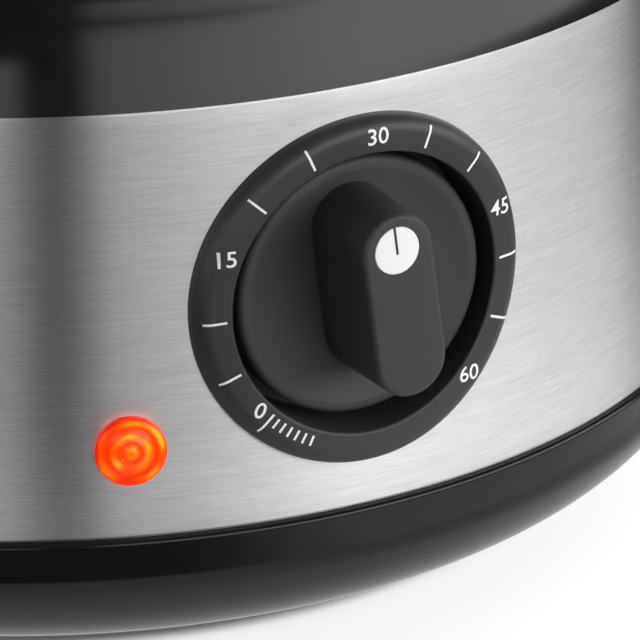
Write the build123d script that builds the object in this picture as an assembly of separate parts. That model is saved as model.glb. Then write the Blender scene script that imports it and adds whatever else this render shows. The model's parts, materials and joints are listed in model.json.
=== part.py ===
from build123d import *
import math
import os

# Egg cooker: a round brushed-steel body on a black base, with a black collar, a clockwork
# dial timer and a lamp at the front, a heated water dish, an egg tray and a clear dome lid.
# Millimetres. +Z is up, the origin is on the table under the middle, the dial faces -Y.

# Overall sizes
BAND_R = 99.75
BAND_Z0 = 25.0
BAND_H = 61.8
BAND_WALL = 0.8
BAND_TUCK = 3.4
DIAL_Z = BAND_Z0 + 32.1
FOOT_H = 4.5

# Base pan
PAN_R = 100.55
PAN_WALL_R = 100.45
PAN_WALL_Z = 19.4
PAN_CREASE_R = 99.9
PAN_CREASE_Z = 17.1
PAN_CURVE_R = 94.35
PAN_CURVE_Z = 9.76
PAN_FLAT_R = 85.4
PAN_FLOOR = 2.7
PAN_FLOOR_R = 86.0
PAN_INSIDE_R = 96.4
PAN_INSIDE_Z = 22.0
PAN_RING_R = 98.6
PAN_RING_Z = BAND_Z0 + 5
FOOT_STEM_R = 2.5
FOOT_BARB_R = 3.3
FOOT_STEM_UP = 3.0
SCREW_SEAT = 6.0
SCREW_HEAD_R = 3.0
SCREW_HEAD_H = 2.2
SCREW_SHANK_R = 1.55
SCREW_LENGTH = 14.0
FOOT_PLACE_R = 62
FOOT_R = 7.0
POST_PLACE_R = 81.5
POST_R = 4.0
POST_Z = 30.0
POST_ANGLES = (45, 135, 225, 315)

# Collar
COLLAR_R = 101.2
COLLAR_Z0 = BAND_Z0 + BAND_H
COLLAR_SHOULDER_R = 97.1
COLLAR_SHOULDER_Z = 99.4
COLLAR_TOP = 108.3
COLLAR_WELL_R = 90.0
COLLAR_SKIRT_OUT = 98.75
COLLAR_SKIRT_IN = 96.4
COLLAR_SKIRT_Z = 84.0
COLLAR_GROOVE_R = 99.85
LEDGE_R = 76.5
LEDGE_Z = 101.0
LEDGE_T = 2.8

# Water dish and what heats it
DISH_R = 75.0
DISH_FLANGE_R = 89.2
DISH_T = 0.8
GASKET_T = 1.0
DISH_TOP = LEDGE_Z + GASKET_T + DISH_T
DISH_FLOOR = 88.0
PLATE_R = 64
PLATE_T = 3.5
PLATE_Z0 = DISH_FLOOR - PLATE_T
ELEMENT_R = 44
ELEMENT_TUBE_R = 3.2
ELEMENT_GAP = 20
ELEMENT_DROP = 10
THERMOSTAT_R = 11.0
THERMOSTAT_STEP = 5.0
BRACKET_SCREW_X = 15.5
FUSE_Y = 31.0
FUSE_R = 2.2
SHIELD_R = 60
SHIELD_Z = 70.0
SHIELD_T = 0.6
STUD_PLACE_R = 54
STUD_ANGLES = (90, 210, 330)
GAP = 0.05

# Dial, in its own frame: x right, y up, z out of the body from the body's axis
RING_R = 25.0
RING_HOLE_R = 20.07
RING_PROUD = 2.8
RING_EDGE = 0.6
CUP_WALL = 1.4
CUP_Z0 = 90.0
CUP_FLOOR = 1.5
CUP_SCREW_X = 13
CUP_SHAFT_WAY_R = 4.2
KNOB_R = 18.5
KNOB_EDGE_Z = BAND_R - 0.7
KNOB_BACK_Z = 94.6
BAR_W = 10.6
BAR_UP = 14.9
BAR_DOWN = 11.9
BAR_Z = BAND_R + 12.2
BAR_TILT = 7.4
BAR_ROOT_Z = 95.4
BAR_DRAFT = 1.5
DISH_LIP_R = 17.4
DISH_ROOT_R = 5.0
DISH_ROOT_Z = 97.8
DOT_R = 3.35
DOT_UP = 9.9
DOT_SIDE = -0.2
DOT_MARK_W = 0.4
DOT_MARK_PAST = 0.6
SHAFT_R = 3.0
RUNNING = 0.05

# Timer movement
FRAME_W = 50
FRAME_H = 44
FRAME_T = 1.2
FRAME_BACK_Z = 66.8
PILLAR_X = 21
PILLAR_Y = 18
MODULE = 0.6
WHEEL_TEETH = 50
PINION_TEETH = 10
GEAR_PLAY = 0.12
ARBOR_ANGLE = -35
TRAIN_Z = 83.0
SECOND_WHEEL_Z = 76.2
SECOND_WHEEL_TEETH = 24
STAFF_R = 1.6
PIVOT_R = 1.0
BARREL_R = 12.2
SPRING_TURNS = 13
SPRING_STEP = 0.55
SPRING_LEAF = 0.35
CAM_R = 6.4
NOTCH_ANGLE = -131
LEAF_Z0 = 77.8
LEAF_Z1 = 82.0

# Lamp
LAMP_TURN = -19.2
LAMP_Z = DIAL_Z - 19.0
LENS_R = 4.95
LENS_NECK_R = 4.2

# Cord inlet
INLET_Z = 38
INLET_BORE_R = 3.75
INLET_NECK_R = 6.0
INLET_FLANGE_R = 8.8
INLET_BARB_R = 7.4

# Terminal block and wires
BLOCK_Y = 48
BLOCK_H = 12
WAY_X = (-11, 0, 11)
WIRE_R = 1.1

# Egg tray
TRAY_R = 73.0
TRAY_RIM_R = 80.5
TRAY_T = 1.5
TRAY_TOP = 113.5
EGG_R = 17.0
EGG_PLACE_R = 48
GRIP_X = 67.0
GRIP_HALF = 16
GRIP_TUBE_R = 2.8
GRIP_H = 20
GRIP_CORNER_R = 7
EGG_LIP = 0.8
EGG_LIP_W = 1.6
VENT_R = 2.0
TRAY_VENT_PLACE_R = 30

# Lid
LID_RIM_R = 88.3
LID_WALL_R = 86.6
LID_SHOULDER_R = 84.6
LID_SHOULDER_Z = 152.0
LID_TOP = 168.0
LID_T = 2.0
LID_REST_Z = DISH_TOP + 0.1
LID_PAD_R = 13
LID_CORNER_R = 13
LID_RIM_H = 2.6
LID_SCREW_WAY_R = 2.3
LID_VENT_PLACE_R = 36
LID_VENT_ANGLES = (30, 150, 270)
LID_PAD_TOP = LID_TOP + 0.6
LID_KNOB_TOP = 192.0
WASHER_T = 1.0
WASHER_Z = LID_TOP - LID_T - WASHER_T - 0.15


def turned(*edges):
    """A solid of revolution about Z from edges drawn in the XZ plane."""
    return revolve(make_face(Curve() + list(edges)), Axis.Z, 360)


def lathe(points):
    """A solid of revolution about Z from corner points (radius, height)."""
    return turned(Polyline([(r, 0, z) for r, z in points], close=True))


def disc(radius, z0, z1):
    return Pos(0, 0, z0) * extrude(Circle(radius), z1 - z0)


def tube(outer, inner, z0, z1):
    return disc(outer, z0, z1) - disc(inner, z0 - 1, z1 + 1)


def block(x, y, z0, z1):
    """A box of x by y, centred on the Z axis, between two heights."""
    return Pos(0, 0, z0) * extrude(Rectangle(x, y), z1 - z0)


def around(shape, radius, angles):
    """Copies of a shape at a radius from the Z axis, one for each angle."""
    return [Rot(0, 0, a) * Pos(radius, 0, 0) * shape for a in angles]


def fused(shapes):
    whole = shapes[0]
    for shape in shapes[1:]:
        whole += shape
    return whole


def facing(turn, z, shape):
    """Puts a shape from a front-facing frame on the body, turned about the body's axis."""
    return Rot(0, 0, turn) * Location((0, 0, z), (90, 0, 0)) * shape


def on_dial(shape):
    return facing(0, DIAL_Z, shape)


def on_lamp(shape):
    return facing(LAMP_TURN, LAMP_Z, shape)


def on_inlet(shape):
    return facing(180, INLET_Z, shape)


def pt(r, z):
    return (r, 0, z)


def crown(r, z, top):
    """A dome's arc in the XZ plane, from radius r and height z up to the axis, level there."""
    rise = top - z
    radius = (r ** 2 + rise ** 2) / (2 * rise)
    mid_z = top - radius + math.sqrt(radius ** 2 - (r / 2) ** 2)
    return ThreePointArc(pt(r, z), pt(r / 2, mid_z), pt(0, top))


def pan_outside():
    """The base pan's outer form, with no hollow: a bowl-like skirt under a level top."""
    crease = pt(PAN_CREASE_R, PAN_CREASE_Z)
    turn = pt(PAN_CREASE_R + 0.4, PAN_CREASE_Z + 1.1)
    return turned(
        Line(pt(0, FOOT_H), pt(PAN_FLAT_R, FOOT_H)),
        ThreePointArc(pt(PAN_FLAT_R, FOOT_H), pt(PAN_CURVE_R, PAN_CURVE_Z), crease),
        ThreePointArc(crease, turn, pt(PAN_WALL_R, PAN_WALL_Z)),
        Line(pt(PAN_WALL_R, PAN_WALL_Z), pt(PAN_R, 24.3)),
        ThreePointArc(pt(PAN_R, 24.3), pt(100.34, 24.8), pt(99.85, BAND_Z0)),
        Line(pt(99.85, BAND_Z0), pt(PAN_RING_R, BAND_Z0)),
        Line(pt(PAN_RING_R, BAND_Z0), pt(PAN_RING_R, PAN_RING_Z)),
        Line(pt(PAN_RING_R, PAN_RING_Z), pt(0, PAN_RING_Z)),
        Line(pt(0, PAN_RING_Z), pt(0, FOOT_H)),
    )


def pan_inside():
    floor = FOOT_H + PAN_FLOOR
    return turned(
        Line(pt(0, floor), pt(PAN_FLOOR_R, floor)),
        ThreePointArc(pt(PAN_FLOOR_R, floor), pt(94.4, 15.6), pt(PAN_INSIDE_R, PAN_INSIDE_Z)),
        Line(pt(PAN_INSIDE_R, PAN_INSIDE_Z), pt(PAN_INSIDE_R, PAN_RING_Z + 1)),
        Line(pt(PAN_INSIDE_R, PAN_RING_Z + 1), pt(0, PAN_RING_Z + 1)),
        Line(pt(0, PAN_RING_Z + 1), pt(0, floor)),
    )


def base_pan():
    pan = pan_outside() - pan_inside()
    boss = disc(POST_R, FOOT_H + 1, POST_Z)
    pan += fused(around(boss, POST_PLACE_R, POST_ANGLES))
    screw_way = disc(SCREW_SHANK_R + 0.35, 0, POST_Z + 1)
    screw_way += disc(SCREW_HEAD_R + 0.2, 0, FOOT_H + SCREW_SEAT)
    for way in around(screw_way, POST_PLACE_R, POST_ANGLES):
        pan -= way
    for way in around(disc(FOOT_STEM_R + 0.1, 0, 12), FOOT_PLACE_R, POST_ANGLES):
        pan -= way
    return pan


def rubber_feet():
    """Four press-in rubber feet, each with a stem through the pan's floor."""
    floor = FOOT_H + PAN_FLOOR
    tip = floor + FOOT_STEM_UP
    foot = lathe([
        (0, 0), (FOOT_R - 0.8, 0), (FOOT_R, 0.8), (FOOT_R, FOOT_H), (FOOT_STEM_R, FOOT_H),
        (FOOT_STEM_R, floor), (FOOT_BARB_R, floor), (FOOT_STEM_R - 0.5, tip), (0, tip),
    ])
    return around(foot, FOOT_PLACE_R, POST_ANGLES)


def base_screws():
    seat = FOOT_H + SCREW_SEAT
    screw = disc(SCREW_HEAD_R, seat - SCREW_HEAD_H, seat)
    screw += disc(SCREW_SHANK_R, seat, POST_Z + SCREW_LENGTH)
    slots = block(4.4, 0.9, seat - 3, seat - 1.2) + block(0.9, 4.4, seat - 3, seat - 1.2)
    return around(screw - slots, POST_PLACE_R, POST_ANGLES)


def steel_band():
    """The brushed steel band, one rolled sheet with a hemmed lower edge and three holes."""
    band = tube(BAND_R, BAND_R - BAND_WALL, BAND_Z0, BAND_Z0 + BAND_H + BAND_TUCK)
    band -= on_dial(disc(RING_HOLE_R + CUP_WALL + 0.2, 80, 110))
    band -= on_lamp(disc(LENS_NECK_R + 0.15, 80, 110))
    band -= on_inlet(disc(INLET_NECK_R + 0.1, 80, 110))
    return band


def collar():
    """The glossy collar: its lip hides the band's top edge, its ledge carries the dish."""
    underside = LEDGE_Z - LEDGE_T
    groove_top = COLLAR_Z0 + BAND_TUCK + 0.2
    shoulder = pt(COLLAR_SHOULDER_R, COLLAR_SHOULDER_Z)
    roll_end = pt(92.6, COLLAR_TOP - 0.9)
    ring = turned(
        ThreePointArc(pt(COLLAR_R, COLLAR_Z0), pt(99.54, 93.23), shoulder),
        ThreePointArc(shoulder, pt(95.15, 103.56), roll_end),
        ThreePointArc(roll_end, pt(92.3, COLLAR_TOP - 0.25), pt(91.6, COLLAR_TOP)),
        Line(pt(91.6, COLLAR_TOP), pt(91.0, COLLAR_TOP)),
        ThreePointArc(pt(91.0, COLLAR_TOP), pt(90.3, 108.0), pt(COLLAR_WELL_R, 107.3)),
        Line(pt(COLLAR_WELL_R, 107.3), pt(COLLAR_WELL_R, LEDGE_Z)),
        Line(pt(COLLAR_WELL_R, LEDGE_Z), pt(LEDGE_R, LEDGE_Z)),
        Line(pt(LEDGE_R, LEDGE_Z), pt(LEDGE_R, underside)),
        Line(pt(LEDGE_R, underside), pt(95.2, underside)),
        Line(pt(95.2, underside), pt(COLLAR_SKIRT_IN, COLLAR_SKIRT_Z)),
        Line(pt(COLLAR_SKIRT_IN, COLLAR_SKIRT_Z), pt(COLLAR_SKIRT_OUT, COLLAR_SKIRT_Z)),
        Line(pt(COLLAR_SKIRT_OUT, COLLAR_SKIRT_Z), pt(COLLAR_SKIRT_OUT, groove_top)),
        Line(pt(COLLAR_SKIRT_OUT, groove_top), pt(COLLAR_GROOVE_R, groove_top)),
        Line(pt(COLLAR_GROOVE_R, groove_top), pt(COLLAR_GROOVE_R, COLLAR_Z0)),
        Line(pt(COLLAR_GROOVE_R, COLLAR_Z0), pt(COLLAR_R, COLLAR_Z0)),
    )
    post = disc(POST_R, POST_Z, underside + 1) - disc(1.6, POST_Z - 1, POST_Z + 16)
    return fused([ring] + around(post, POST_PLACE_R, POST_ANGLES))


def dish_gasket():
    return tube(DISH_FLANGE_R - 0.4, 83.0, LEDGE_Z, LEDGE_Z + GASKET_T)


def water_dish():
    """The pressed steel dish that boils the water, with a wide flat flange."""
    outer = disc(DISH_R, DISH_FLOOR, DISH_TOP)
    outer = fillet(outer.edges().group_by(Axis.Z)[0], 5.8)
    inner = disc(DISH_R - DISH_T, DISH_FLOOR + DISH_T, DISH_TOP + 1)
    inner = fillet(inner.edges().group_by(Axis.Z)[0], 5)
    flange = disc(DISH_FLANGE_R, DISH_TOP - DISH_T, DISH_TOP)
    return outer + flange - inner


def heat_plate():
    return disc(PLATE_R, PLATE_Z0, DISH_FLOOR)


def heating_element():
    """The sheathed element: an open ring whose two ends turn down to the terminals."""
    low = PLATE_Z0 - ELEMENT_TUBE_R - GAP
    start = Rot(0, 0, ELEMENT_GAP) * Pos(ELEMENT_R, 0, low)
    ring = CenterArc((0, 0, low), ELEMENT_R, ELEMENT_GAP, 360 - 2 * ELEMENT_GAP)
    section = Plane(origin=ring @ 0, z_dir=ring % 0) * Circle(ELEMENT_TUBE_R)
    body = sweep(section, path=ring)
    end = disc(ELEMENT_TUBE_R, -ELEMENT_DROP, 0) + Sphere(ELEMENT_TUBE_R)
    return body + start * end + Rot(0, 0, -2 * ELEMENT_GAP) * start * end


def element_terminals():
    top = PLATE_Z0 - ELEMENT_TUBE_R - GAP - ELEMENT_DROP
    pin = disc(1.4, top - 14, top) + Pos(0, 0, top - 16) * extrude(Rectangle(0.8, 6.3), 8)
    return around(pin, ELEMENT_R, (ELEMENT_GAP, -ELEMENT_GAP))


def thermostat():
    """The boil-dry thermostat: a round body with two spade tabs, hard against the plate."""
    step = PLATE_Z0 - THERMOSTAT_STEP
    can = disc(THERMOSTAT_R, step, PLATE_Z0) + disc(THERMOSTAT_R - 2.5, step - 6, step)
    tab = Pos(13, 0, 0) * block(10, 6.3, PLATE_Z0 - 9, PLATE_Z0 - 8.2)
    return can + tab + Rot(0, 0, 180) * tab


def thermostat_bracket():
    level = PLATE_Z0 - THERMOSTAT_STEP
    strap = Rot(0, 0, 90) * block(44, 9, level - 1, level)
    legs = [Rot(0, 0, a) * Pos(20.5, 0, 0) * block(3, 9, level - 0.5, PLATE_Z0) for a in (90, 270)]
    hole = disc(THERMOSTAT_R - 2.4, level - 2, level + 1)
    rim = disc(THERMOSTAT_R - 0.2, level - 1, level)
    bracket = strap + rim + legs[0] + legs[1] - hole
    for way in around(disc(1.65, 0, level + 1), BRACKET_SCREW_X, (90, 270)):
        bracket -= way
    return bracket


def thermostat_screws():
    level = PLATE_Z0 - 6
    screw = disc(1.5, level, PLATE_Z0) + disc(2.8, level - 1.8, level)
    return around(screw, BRACKET_SCREW_X, (90, 270))


def thermal_fuse():
    """The one-shot fuse in its sleeve, with a lead at each end."""
    low = PLATE_Z0 - FUSE_R - 0.1
    body = extrude(Circle(FUSE_R), 14, both=True)
    wire = extrude(Circle(0.5), 22, both=True)
    return Pos(0, FUSE_Y, low) * Rot(0, 90, 0) * (body + wire)


def fuse_clip():
    """A strap under the fuse: a half round, two short legs and two flanges on the plate."""
    up = FUSE_R + 0.1
    strap = (Circle(2.9) - Circle(2.3)) & Pos(0, -5) * Rectangle(20, 10)
    for side in (-1, 1):
        strap += Pos(side * 2.6, up / 2) * Rectangle(0.6, up)
        strap += Pos(side * 4.6, up - 0.3) * Rectangle(4.6, 0.6)
    return Pos(0, FUSE_Y, PLATE_Z0 - up) * (Plane.YZ * extrude(strap, 4, both=True))


def plate_studs():
    return around(disc(2.0, SHIELD_Z - 8, PLATE_Z0), STUD_PLACE_R, STUD_ANGLES)


def shield_spacers():
    return around(tube(4.0, 2.1, SHIELD_Z, PLATE_Z0), STUD_PLACE_R, STUD_ANGLES)


def heat_shield():
    """The tin tray that keeps the plate's heat off the timer and the wires."""
    rim_z = SHIELD_Z + 9
    tray = disc(SHIELD_R, SHIELD_Z - SHIELD_T, rim_z)
    tray -= disc(SHIELD_R - SHIELD_T, SHIELD_Z, rim_z + 1)
    for way in around(disc(2.2, 60, 80), STUD_PLACE_R, STUD_ANGLES):
        tray -= way
    for way in around(disc(6, 60, 80), ELEMENT_R, (ELEMENT_GAP, -ELEMENT_GAP)):
        tray -= way
    return tray


def shield_nuts():
    low = SHIELD_Z - SHIELD_T - 3.2
    nut = Pos(0, 0, low) * extrude(RegularPolygon(3.9, 6) - Circle(2.0), 3.2)
    return around(nut, STUD_PLACE_R, STUD_ANGLES)


def dial_ring():
    """The scale ring: it follows the band's curve and ends behind it in the knob's cup."""
    follow = tube(BAND_R + RING_PROUD, BAND_R + 0.02, -30, 30)
    face = facing(0, 0, disc(RING_R, 80, 110)) & follow
    front_edges = [e for e in face.edges() if max(abs(v.Y) for v in e.vertices()) > BAND_R - 1]
    face = fillet(front_edges, RING_PROUD - RING_EDGE)
    cup = facing(0, 0, disc(RING_HOLE_R + CUP_WALL, CUP_Z0, 110)) & disc(BAND_R + 1, -30, 30)
    ring = face + cup - facing(0, 0, disc(RING_HOLE_R, CUP_Z0 + CUP_FLOOR, 110))
    ring -= facing(0, 0, disc(CUP_SHAFT_WAY_R, 80, 100))
    for x in (-CUP_SCREW_X, CUP_SCREW_X):
        ring -= facing(0, 0, Pos(x, 0, 0) * disc(1.7, 80, 100))
    return Pos(0, 0, DIAL_Z) * ring


def timer_screws():
    top = CUP_Z0 + CUP_FLOOR
    screw = disc(1.5, CUP_Z0 - 3.5, top) + disc(2.9, top, top + 1.6)
    screw -= block(6, 0.8, top + 0.8, top + 2)
    return [on_dial(Pos(x, 0, 0) * screw) for x in (-CUP_SCREW_X, CUP_SCREW_X)]


def knob_body():
    """The knob in the dial's frame: a dished round plate with a straight bar across it."""
    dish_lip = pt(DISH_LIP_R, KNOB_EDGE_Z + 0.1)
    plate = turned(
        Line(pt(0, KNOB_BACK_Z), pt(KNOB_R, KNOB_BACK_Z)),
        Line(pt(KNOB_R, KNOB_BACK_Z), pt(KNOB_R, KNOB_EDGE_Z - 0.9)),
        ThreePointArc(pt(KNOB_R, KNOB_EDGE_Z - 0.9), pt(18.2, 98.85), dish_lip),
        ThreePointArc(dish_lip, pt(11.5, 98.3), pt(DISH_ROOT_R, DISH_ROOT_Z)),
        Line(pt(DISH_ROOT_R, DISH_ROOT_Z), pt(0, DISH_ROOT_Z)),
        Line(pt(0, DISH_ROOT_Z), pt(0, KNOB_BACK_Z)),
    )
    length = BAR_UP + BAR_DOWN
    outline = Pos(0, (BAR_UP - BAR_DOWN) / 2) * Rot(0, 0, 90) * SlotOverall(length, BAR_W)
    bar = extrude(Pos(0, 0, BAR_Z) * outline, BAR_Z - BAR_ROOT_Z, dir=(0, 0, -1), taper=-BAR_DRAFT)
    bar = fillet(bar.edges().group_by(Axis.Z)[-1], 0.7)
    hub = disc(5.2, 92.0, 96) - disc(SHAFT_R, 90, 97)
    bore = disc(SHAFT_R, 90, 106)
    dot_seat = Pos(DOT_SIDE, DOT_UP, 0) * disc(DOT_R, BAR_Z - 1.0, BAR_Z + 1)
    return plate + bar + hub - bore - dot_seat


def knob():
    return on_dial(Rot(0, 0, BAR_TILT) * knob_body())


def pointer_dot():
    dot = disc(DOT_R, BAR_Z - 1.0, BAR_Z + 0.05)
    mark = extrude(Rectangle(DOT_MARK_W, DOT_R + DOT_MARK_PAST), 1)
    dot -= Pos(0, (DOT_R - DOT_MARK_PAST) / 2, BAR_Z - 0.2) * mark
    dot = Pos(DOT_SIDE, DOT_UP, 0) * dot
    return on_dial(Rot(0, 0, BAR_TILT) * dot)


def timer_shaft():
    shaft = disc(SHAFT_R, 62, 106)
    flat = Pos(0, SHAFT_R, 0) * block(8, 1.6, 99, 107)
    return on_dial(Rot(0, 0, BAR_TILT) * (shaft - flat))


def knob_clip():
    """The spring clip that fills the shaft's flat and grips the knob."""
    clip = disc(SHAFT_R, 99, 105.9) & (Pos(0, SHAFT_R, 0) * block(8, 1.5, 99, 107))
    return on_dial(Rot(0, 0, BAR_TILT) * clip)


def arbor_place():
    reach = MODULE * (WHEEL_TEETH + PINION_TEETH) / 2 + 0.06
    angle = math.radians(ARBOR_ANGLE)
    return reach * math.cos(angle), reach * math.sin(angle)


def gear(teeth, z0, z1):
    """A flat gear with slightly thin straight-sided teeth, one tooth centred on +X."""
    pitch_r = MODULE * teeth / 2
    root_r = pitch_r - 1.2 * MODULE
    tip_r = pitch_r + 0.9 * MODULE
    half = math.pi * MODULE / 4 - GEAR_PLAY
    tooth = Polyline(
        (root_r - 0.3, -half - 0.12), (root_r, -half - 0.12), (pitch_r, -half), (tip_r, -half * 0.4),
        (tip_r, half * 0.4), (pitch_r, half), (root_r, half + 0.12), (root_r - 0.3, half + 0.12), close=True,
    )
    outline = Circle(root_r)
    outline += [Rot(0, 0, 360 * i / teeth) * make_face(tooth) for i in range(teeth)]
    return Pos(0, 0, z0) * extrude(outline, z1 - z0)


def timer_front_plate():
    plate = block(FRAME_W, FRAME_H, CUP_Z0 - FRAME_T, CUP_Z0) - disc(SHAFT_R + RUNNING, 80, 100)
    ax, ay = arbor_place()
    plate -= Pos(ax, ay, 0) * disc(PIVOT_R + RUNNING, 80, 100)
    for x in (-CUP_SCREW_X, CUP_SCREW_X):
        plate -= Pos(x, 0, 0) * disc(1.5, 80, 100)
    return on_dial(plate)


def timer_rear_plate():
    plate = block(FRAME_W, FRAME_H, FRAME_BACK_Z, FRAME_BACK_Z + FRAME_T)
    plate -= disc(SHAFT_R + RUNNING, 60, 80)
    ax, ay = arbor_place()
    plate -= Pos(ax, ay, 0) * disc(PIVOT_R + RUNNING, 60, 80)
    return on_dial(plate)


def timer_pillars():
    post = disc(2.0, FRAME_BACK_Z + FRAME_T, CUP_Z0 - FRAME_T)
    return [on_dial(Pos(x, y, 0) * post) for x in (-PILLAR_X, PILLAR_X) for y in (-PILLAR_Y, PILLAR_Y)]


def main_wheel():
    wheel = gear(WHEEL_TEETH, TRAIN_Z, TRAIN_Z + 1.2) - disc(SHAFT_R, 80, 90)
    windows = [Rot(0, 0, a) * Pos(8.5, 0, 80) * extrude(Circle(3.0), 10) for a in range(0, 360, 72)]
    for window in windows:
        wheel -= window
    return on_dial(Rot(0, 0, ARBOR_ANGLE) * wheel)


def second_arbor():
    """The second arbor with its pinion, which the main wheel drives."""
    ax, ay = arbor_place()
    pinion = gear(PINION_TEETH, TRAIN_Z - 0.9, TRAIN_Z + 2.1)
    half_pitch = 180 / PINION_TEETH
    turn = ARBOR_ANGLE + 180 + half_pitch
    staff = disc(STAFF_R, FRAME_BACK_Z + FRAME_T + 0.4, CUP_Z0 - FRAME_T - 0.4)
    staff += disc(PIVOT_R, FRAME_BACK_Z - 0.6, CUP_Z0 - 0.3)
    return on_dial(Pos(ax, ay, 0) * (Rot(0, 0, turn) * pinion + staff))


def second_wheel():
    ax, ay = arbor_place()
    wheel = gear(SECOND_WHEEL_TEETH, SECOND_WHEEL_Z, SECOND_WHEEL_Z + 0.8) - disc(STAFF_R, 70, 90)
    return on_dial(Pos(ax, ay, 0) * wheel)


def spring_barrel():
    barrel = tube(BARREL_R, BARREL_R - 0.8, 68.0, 74.6)
    barrel += tube(BARREL_R, SHAFT_R + 0.3, 74.6, 75.2)
    return on_dial(barrel)


def mainspring():
    """The flat spiral spring: half rings whose radius grows with each half turn."""
    spring = None
    for i in range(SPRING_TURNS):
        radius = SHAFT_R + 0.8 + i * SPRING_STEP
        side = 1 if i % 2 == 0 else -1
        half = Circle(radius + SPRING_LEAF) - Circle(radius)
        half &= Pos(0, side * 10) * Rectangle(40, 20)
        half = Pos(side * SPRING_STEP / 2, 0) * half
        spring = half if spring is None else spring + half
    return on_dial(Pos(0, 0, 68.4) * extrude(spring, 5.6))


def switch_cam():
    cam = disc(CAM_R, LEAF_Z0 + 0.4, LEAF_Z1 - 0.4) - disc(SHAFT_R, 70, 90)
    notch = Rot(0, 0, NOTCH_ANGLE) * Pos(0, CAM_R, 0) * block(2.4, 2.6, 70, 90)
    return on_dial(cam - notch)


def switch_block():
    """The moulded contact block on the rear plate's left, which holds the two leaves."""
    body = Pos(-19, 4, 0) * block(5, 14, FRAME_BACK_Z + FRAME_T, CUP_Z0 - FRAME_T - 3)
    for y in (1.5, 6.5):
        body -= Pos(-17, y, 0) * block(5, 0.6, LEAF_Z0 - 0.2, LEAF_Z1 + 0.2)
    return on_dial(body)


def contact_leaves():
    long_leaf = Pos(-12.0, 6.5, 0) * block(14.0, 0.4, LEAF_Z0, LEAF_Z1)
    short_leaf = Pos(-13.2, 1.5, 0) * block(11.6, 0.4, LEAF_Z0, LEAF_Z1)
    return [on_dial(long_leaf), on_dial(short_leaf)]


def indicator_lens():
    """The lamp's lens: a stepped round cap with a hollow neck through the band."""
    face = BAND_R + 0.02
    lens = lathe([
        (0, face + 1.5), (1.3, face + 1.5), (1.3, face + 1.25), (2.6, face + 1.25), (2.6, face + 1.0),
        (3.9, face + 1.0), (4.1, face + 0.9), (4.6, face + 0.8), (LENS_R, face + 0.4), (LENS_R, face),
        (LENS_NECK_R, face), (LENS_NECK_R, face - 8), (3.2, face - 8), (3.2, face - 1), (0, face - 1),
    ])
    return on_lamp(lens)


def lens_clip():
    return on_lamp(tube(7.0, LENS_NECK_R, BAND_R - 3.2, BAND_R - 2.6))


def neon_lamp():
    glass = fillet(disc(2.6, BAND_R - 12, BAND_R - 1.4).edges().group_by(Axis.Z)[-1], 1.8)
    return on_lamp(glass)


def lamp_holder():
    shell = tube(5.0, LENS_NECK_R, BAND_R - 14, BAND_R - 4)
    return on_lamp(shell + disc(5.0, BAND_R - 15, BAND_R - 12.05) - disc(2.6, BAND_R - 12.05, BAND_R))


def cord_inlet():
    """The empty gland in the rear of the band, with a tapered nose as proud as the knob's bar."""
    face = BAND_R + 0.02
    back = face - 6
    bush = lathe([
        (INLET_BORE_R, back), (INLET_BARB_R, back), (INLET_BARB_R, face - 3),
        (INLET_NECK_R, face - 3), (INLET_NECK_R, face), (INLET_FLANGE_R, face),
        (INLET_FLANGE_R, face + 2), (7.2, face + 3), (5.6, BAR_Z), (INLET_BORE_R, BAR_Z),
    ])
    return on_inlet(bush)


def terminal_block():
    """The screw terminal block on the pan's floor, with three ways."""
    floor = FOOT_H + PAN_FLOOR
    top = floor + BLOCK_H
    body = block(36, 14, floor, top)
    for x in WAY_X:
        body -= Pos(x, 0, floor + BLOCK_H / 2) * Rot(90, 0, 0) * extrude(Circle(1.8), 8, both=True)
        body -= Pos(x, 0, 0) * disc(2.4, top - 4, top + 1)
    return Pos(0, BLOCK_Y, 0) * body


def terminal_screws():
    top = FOOT_H + PAN_FLOOR + BLOCK_H
    screw = disc(2.2, top - 4, top - 1)
    screw -= block(6, 0.7, top - 1.8, top)
    return [Pos(x, BLOCK_Y, 0) * screw for x in WAY_X]


def lead(points, radius):
    """An insulated wire along straight runs joined by tangent arcs."""
    path = FilletPolyline(*points, radius=radius)
    section = Plane(origin=path @ 0, z_dir=path % 0) * Circle(WIRE_R)
    return sweep(section, path=path)


def inner_leads():
    wire_z = FOOT_H + PAN_FLOOR + BLOCK_H / 2
    start_y = BLOCK_Y - 7.5
    back = ELEMENT_R * math.cos(math.radians(ELEMENT_GAP))
    side = ELEMENT_R * math.sin(math.radians(ELEMENT_GAP))
    element_low = PLATE_Z0 - ELEMENT_TUBE_R - GAP - ELEMENT_DROP - 16
    left, middle, right = WAY_X
    timer = [
        (left, start_y, wire_z), (left, 20, wire_z), (-33, 0, wire_z + 14), (-33, -30, 40),
        (-17, -52, 50), (-17, -66.4, 57),
    ]
    lamp = [
        (middle, start_y, wire_z), (middle, -10, wire_z), (-18, -45, wire_z + 3), (-27.5, -79, 20),
        (-27.5, -79, 32.5),
    ]
    heat = [
        (right, start_y, wire_z), (right, 26, wire_z), (30, side, wire_z + 4), (back, side, 30),
        (back, side, element_low),
    ]
    return [lead(timer, 6), lead(lamp, 5), lead(heat, 6)]


def tray_shell():
    """The tray's turned form: a rim on the dish's flange and a raised plate."""
    low = DISH_TOP
    outer = disc(TRAY_R, low, TRAY_TOP)
    outer = fillet(outer.edges().group_by(Axis.Z)[-1], 2.5)
    outer += disc(TRAY_RIM_R, low, low + TRAY_T)
    inner = disc(TRAY_R - TRAY_T, low - 1, TRAY_TOP - TRAY_T)
    inner = fillet(inner.edges().group_by(Axis.Z)[-1], 1.5)
    return outer - inner


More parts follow.
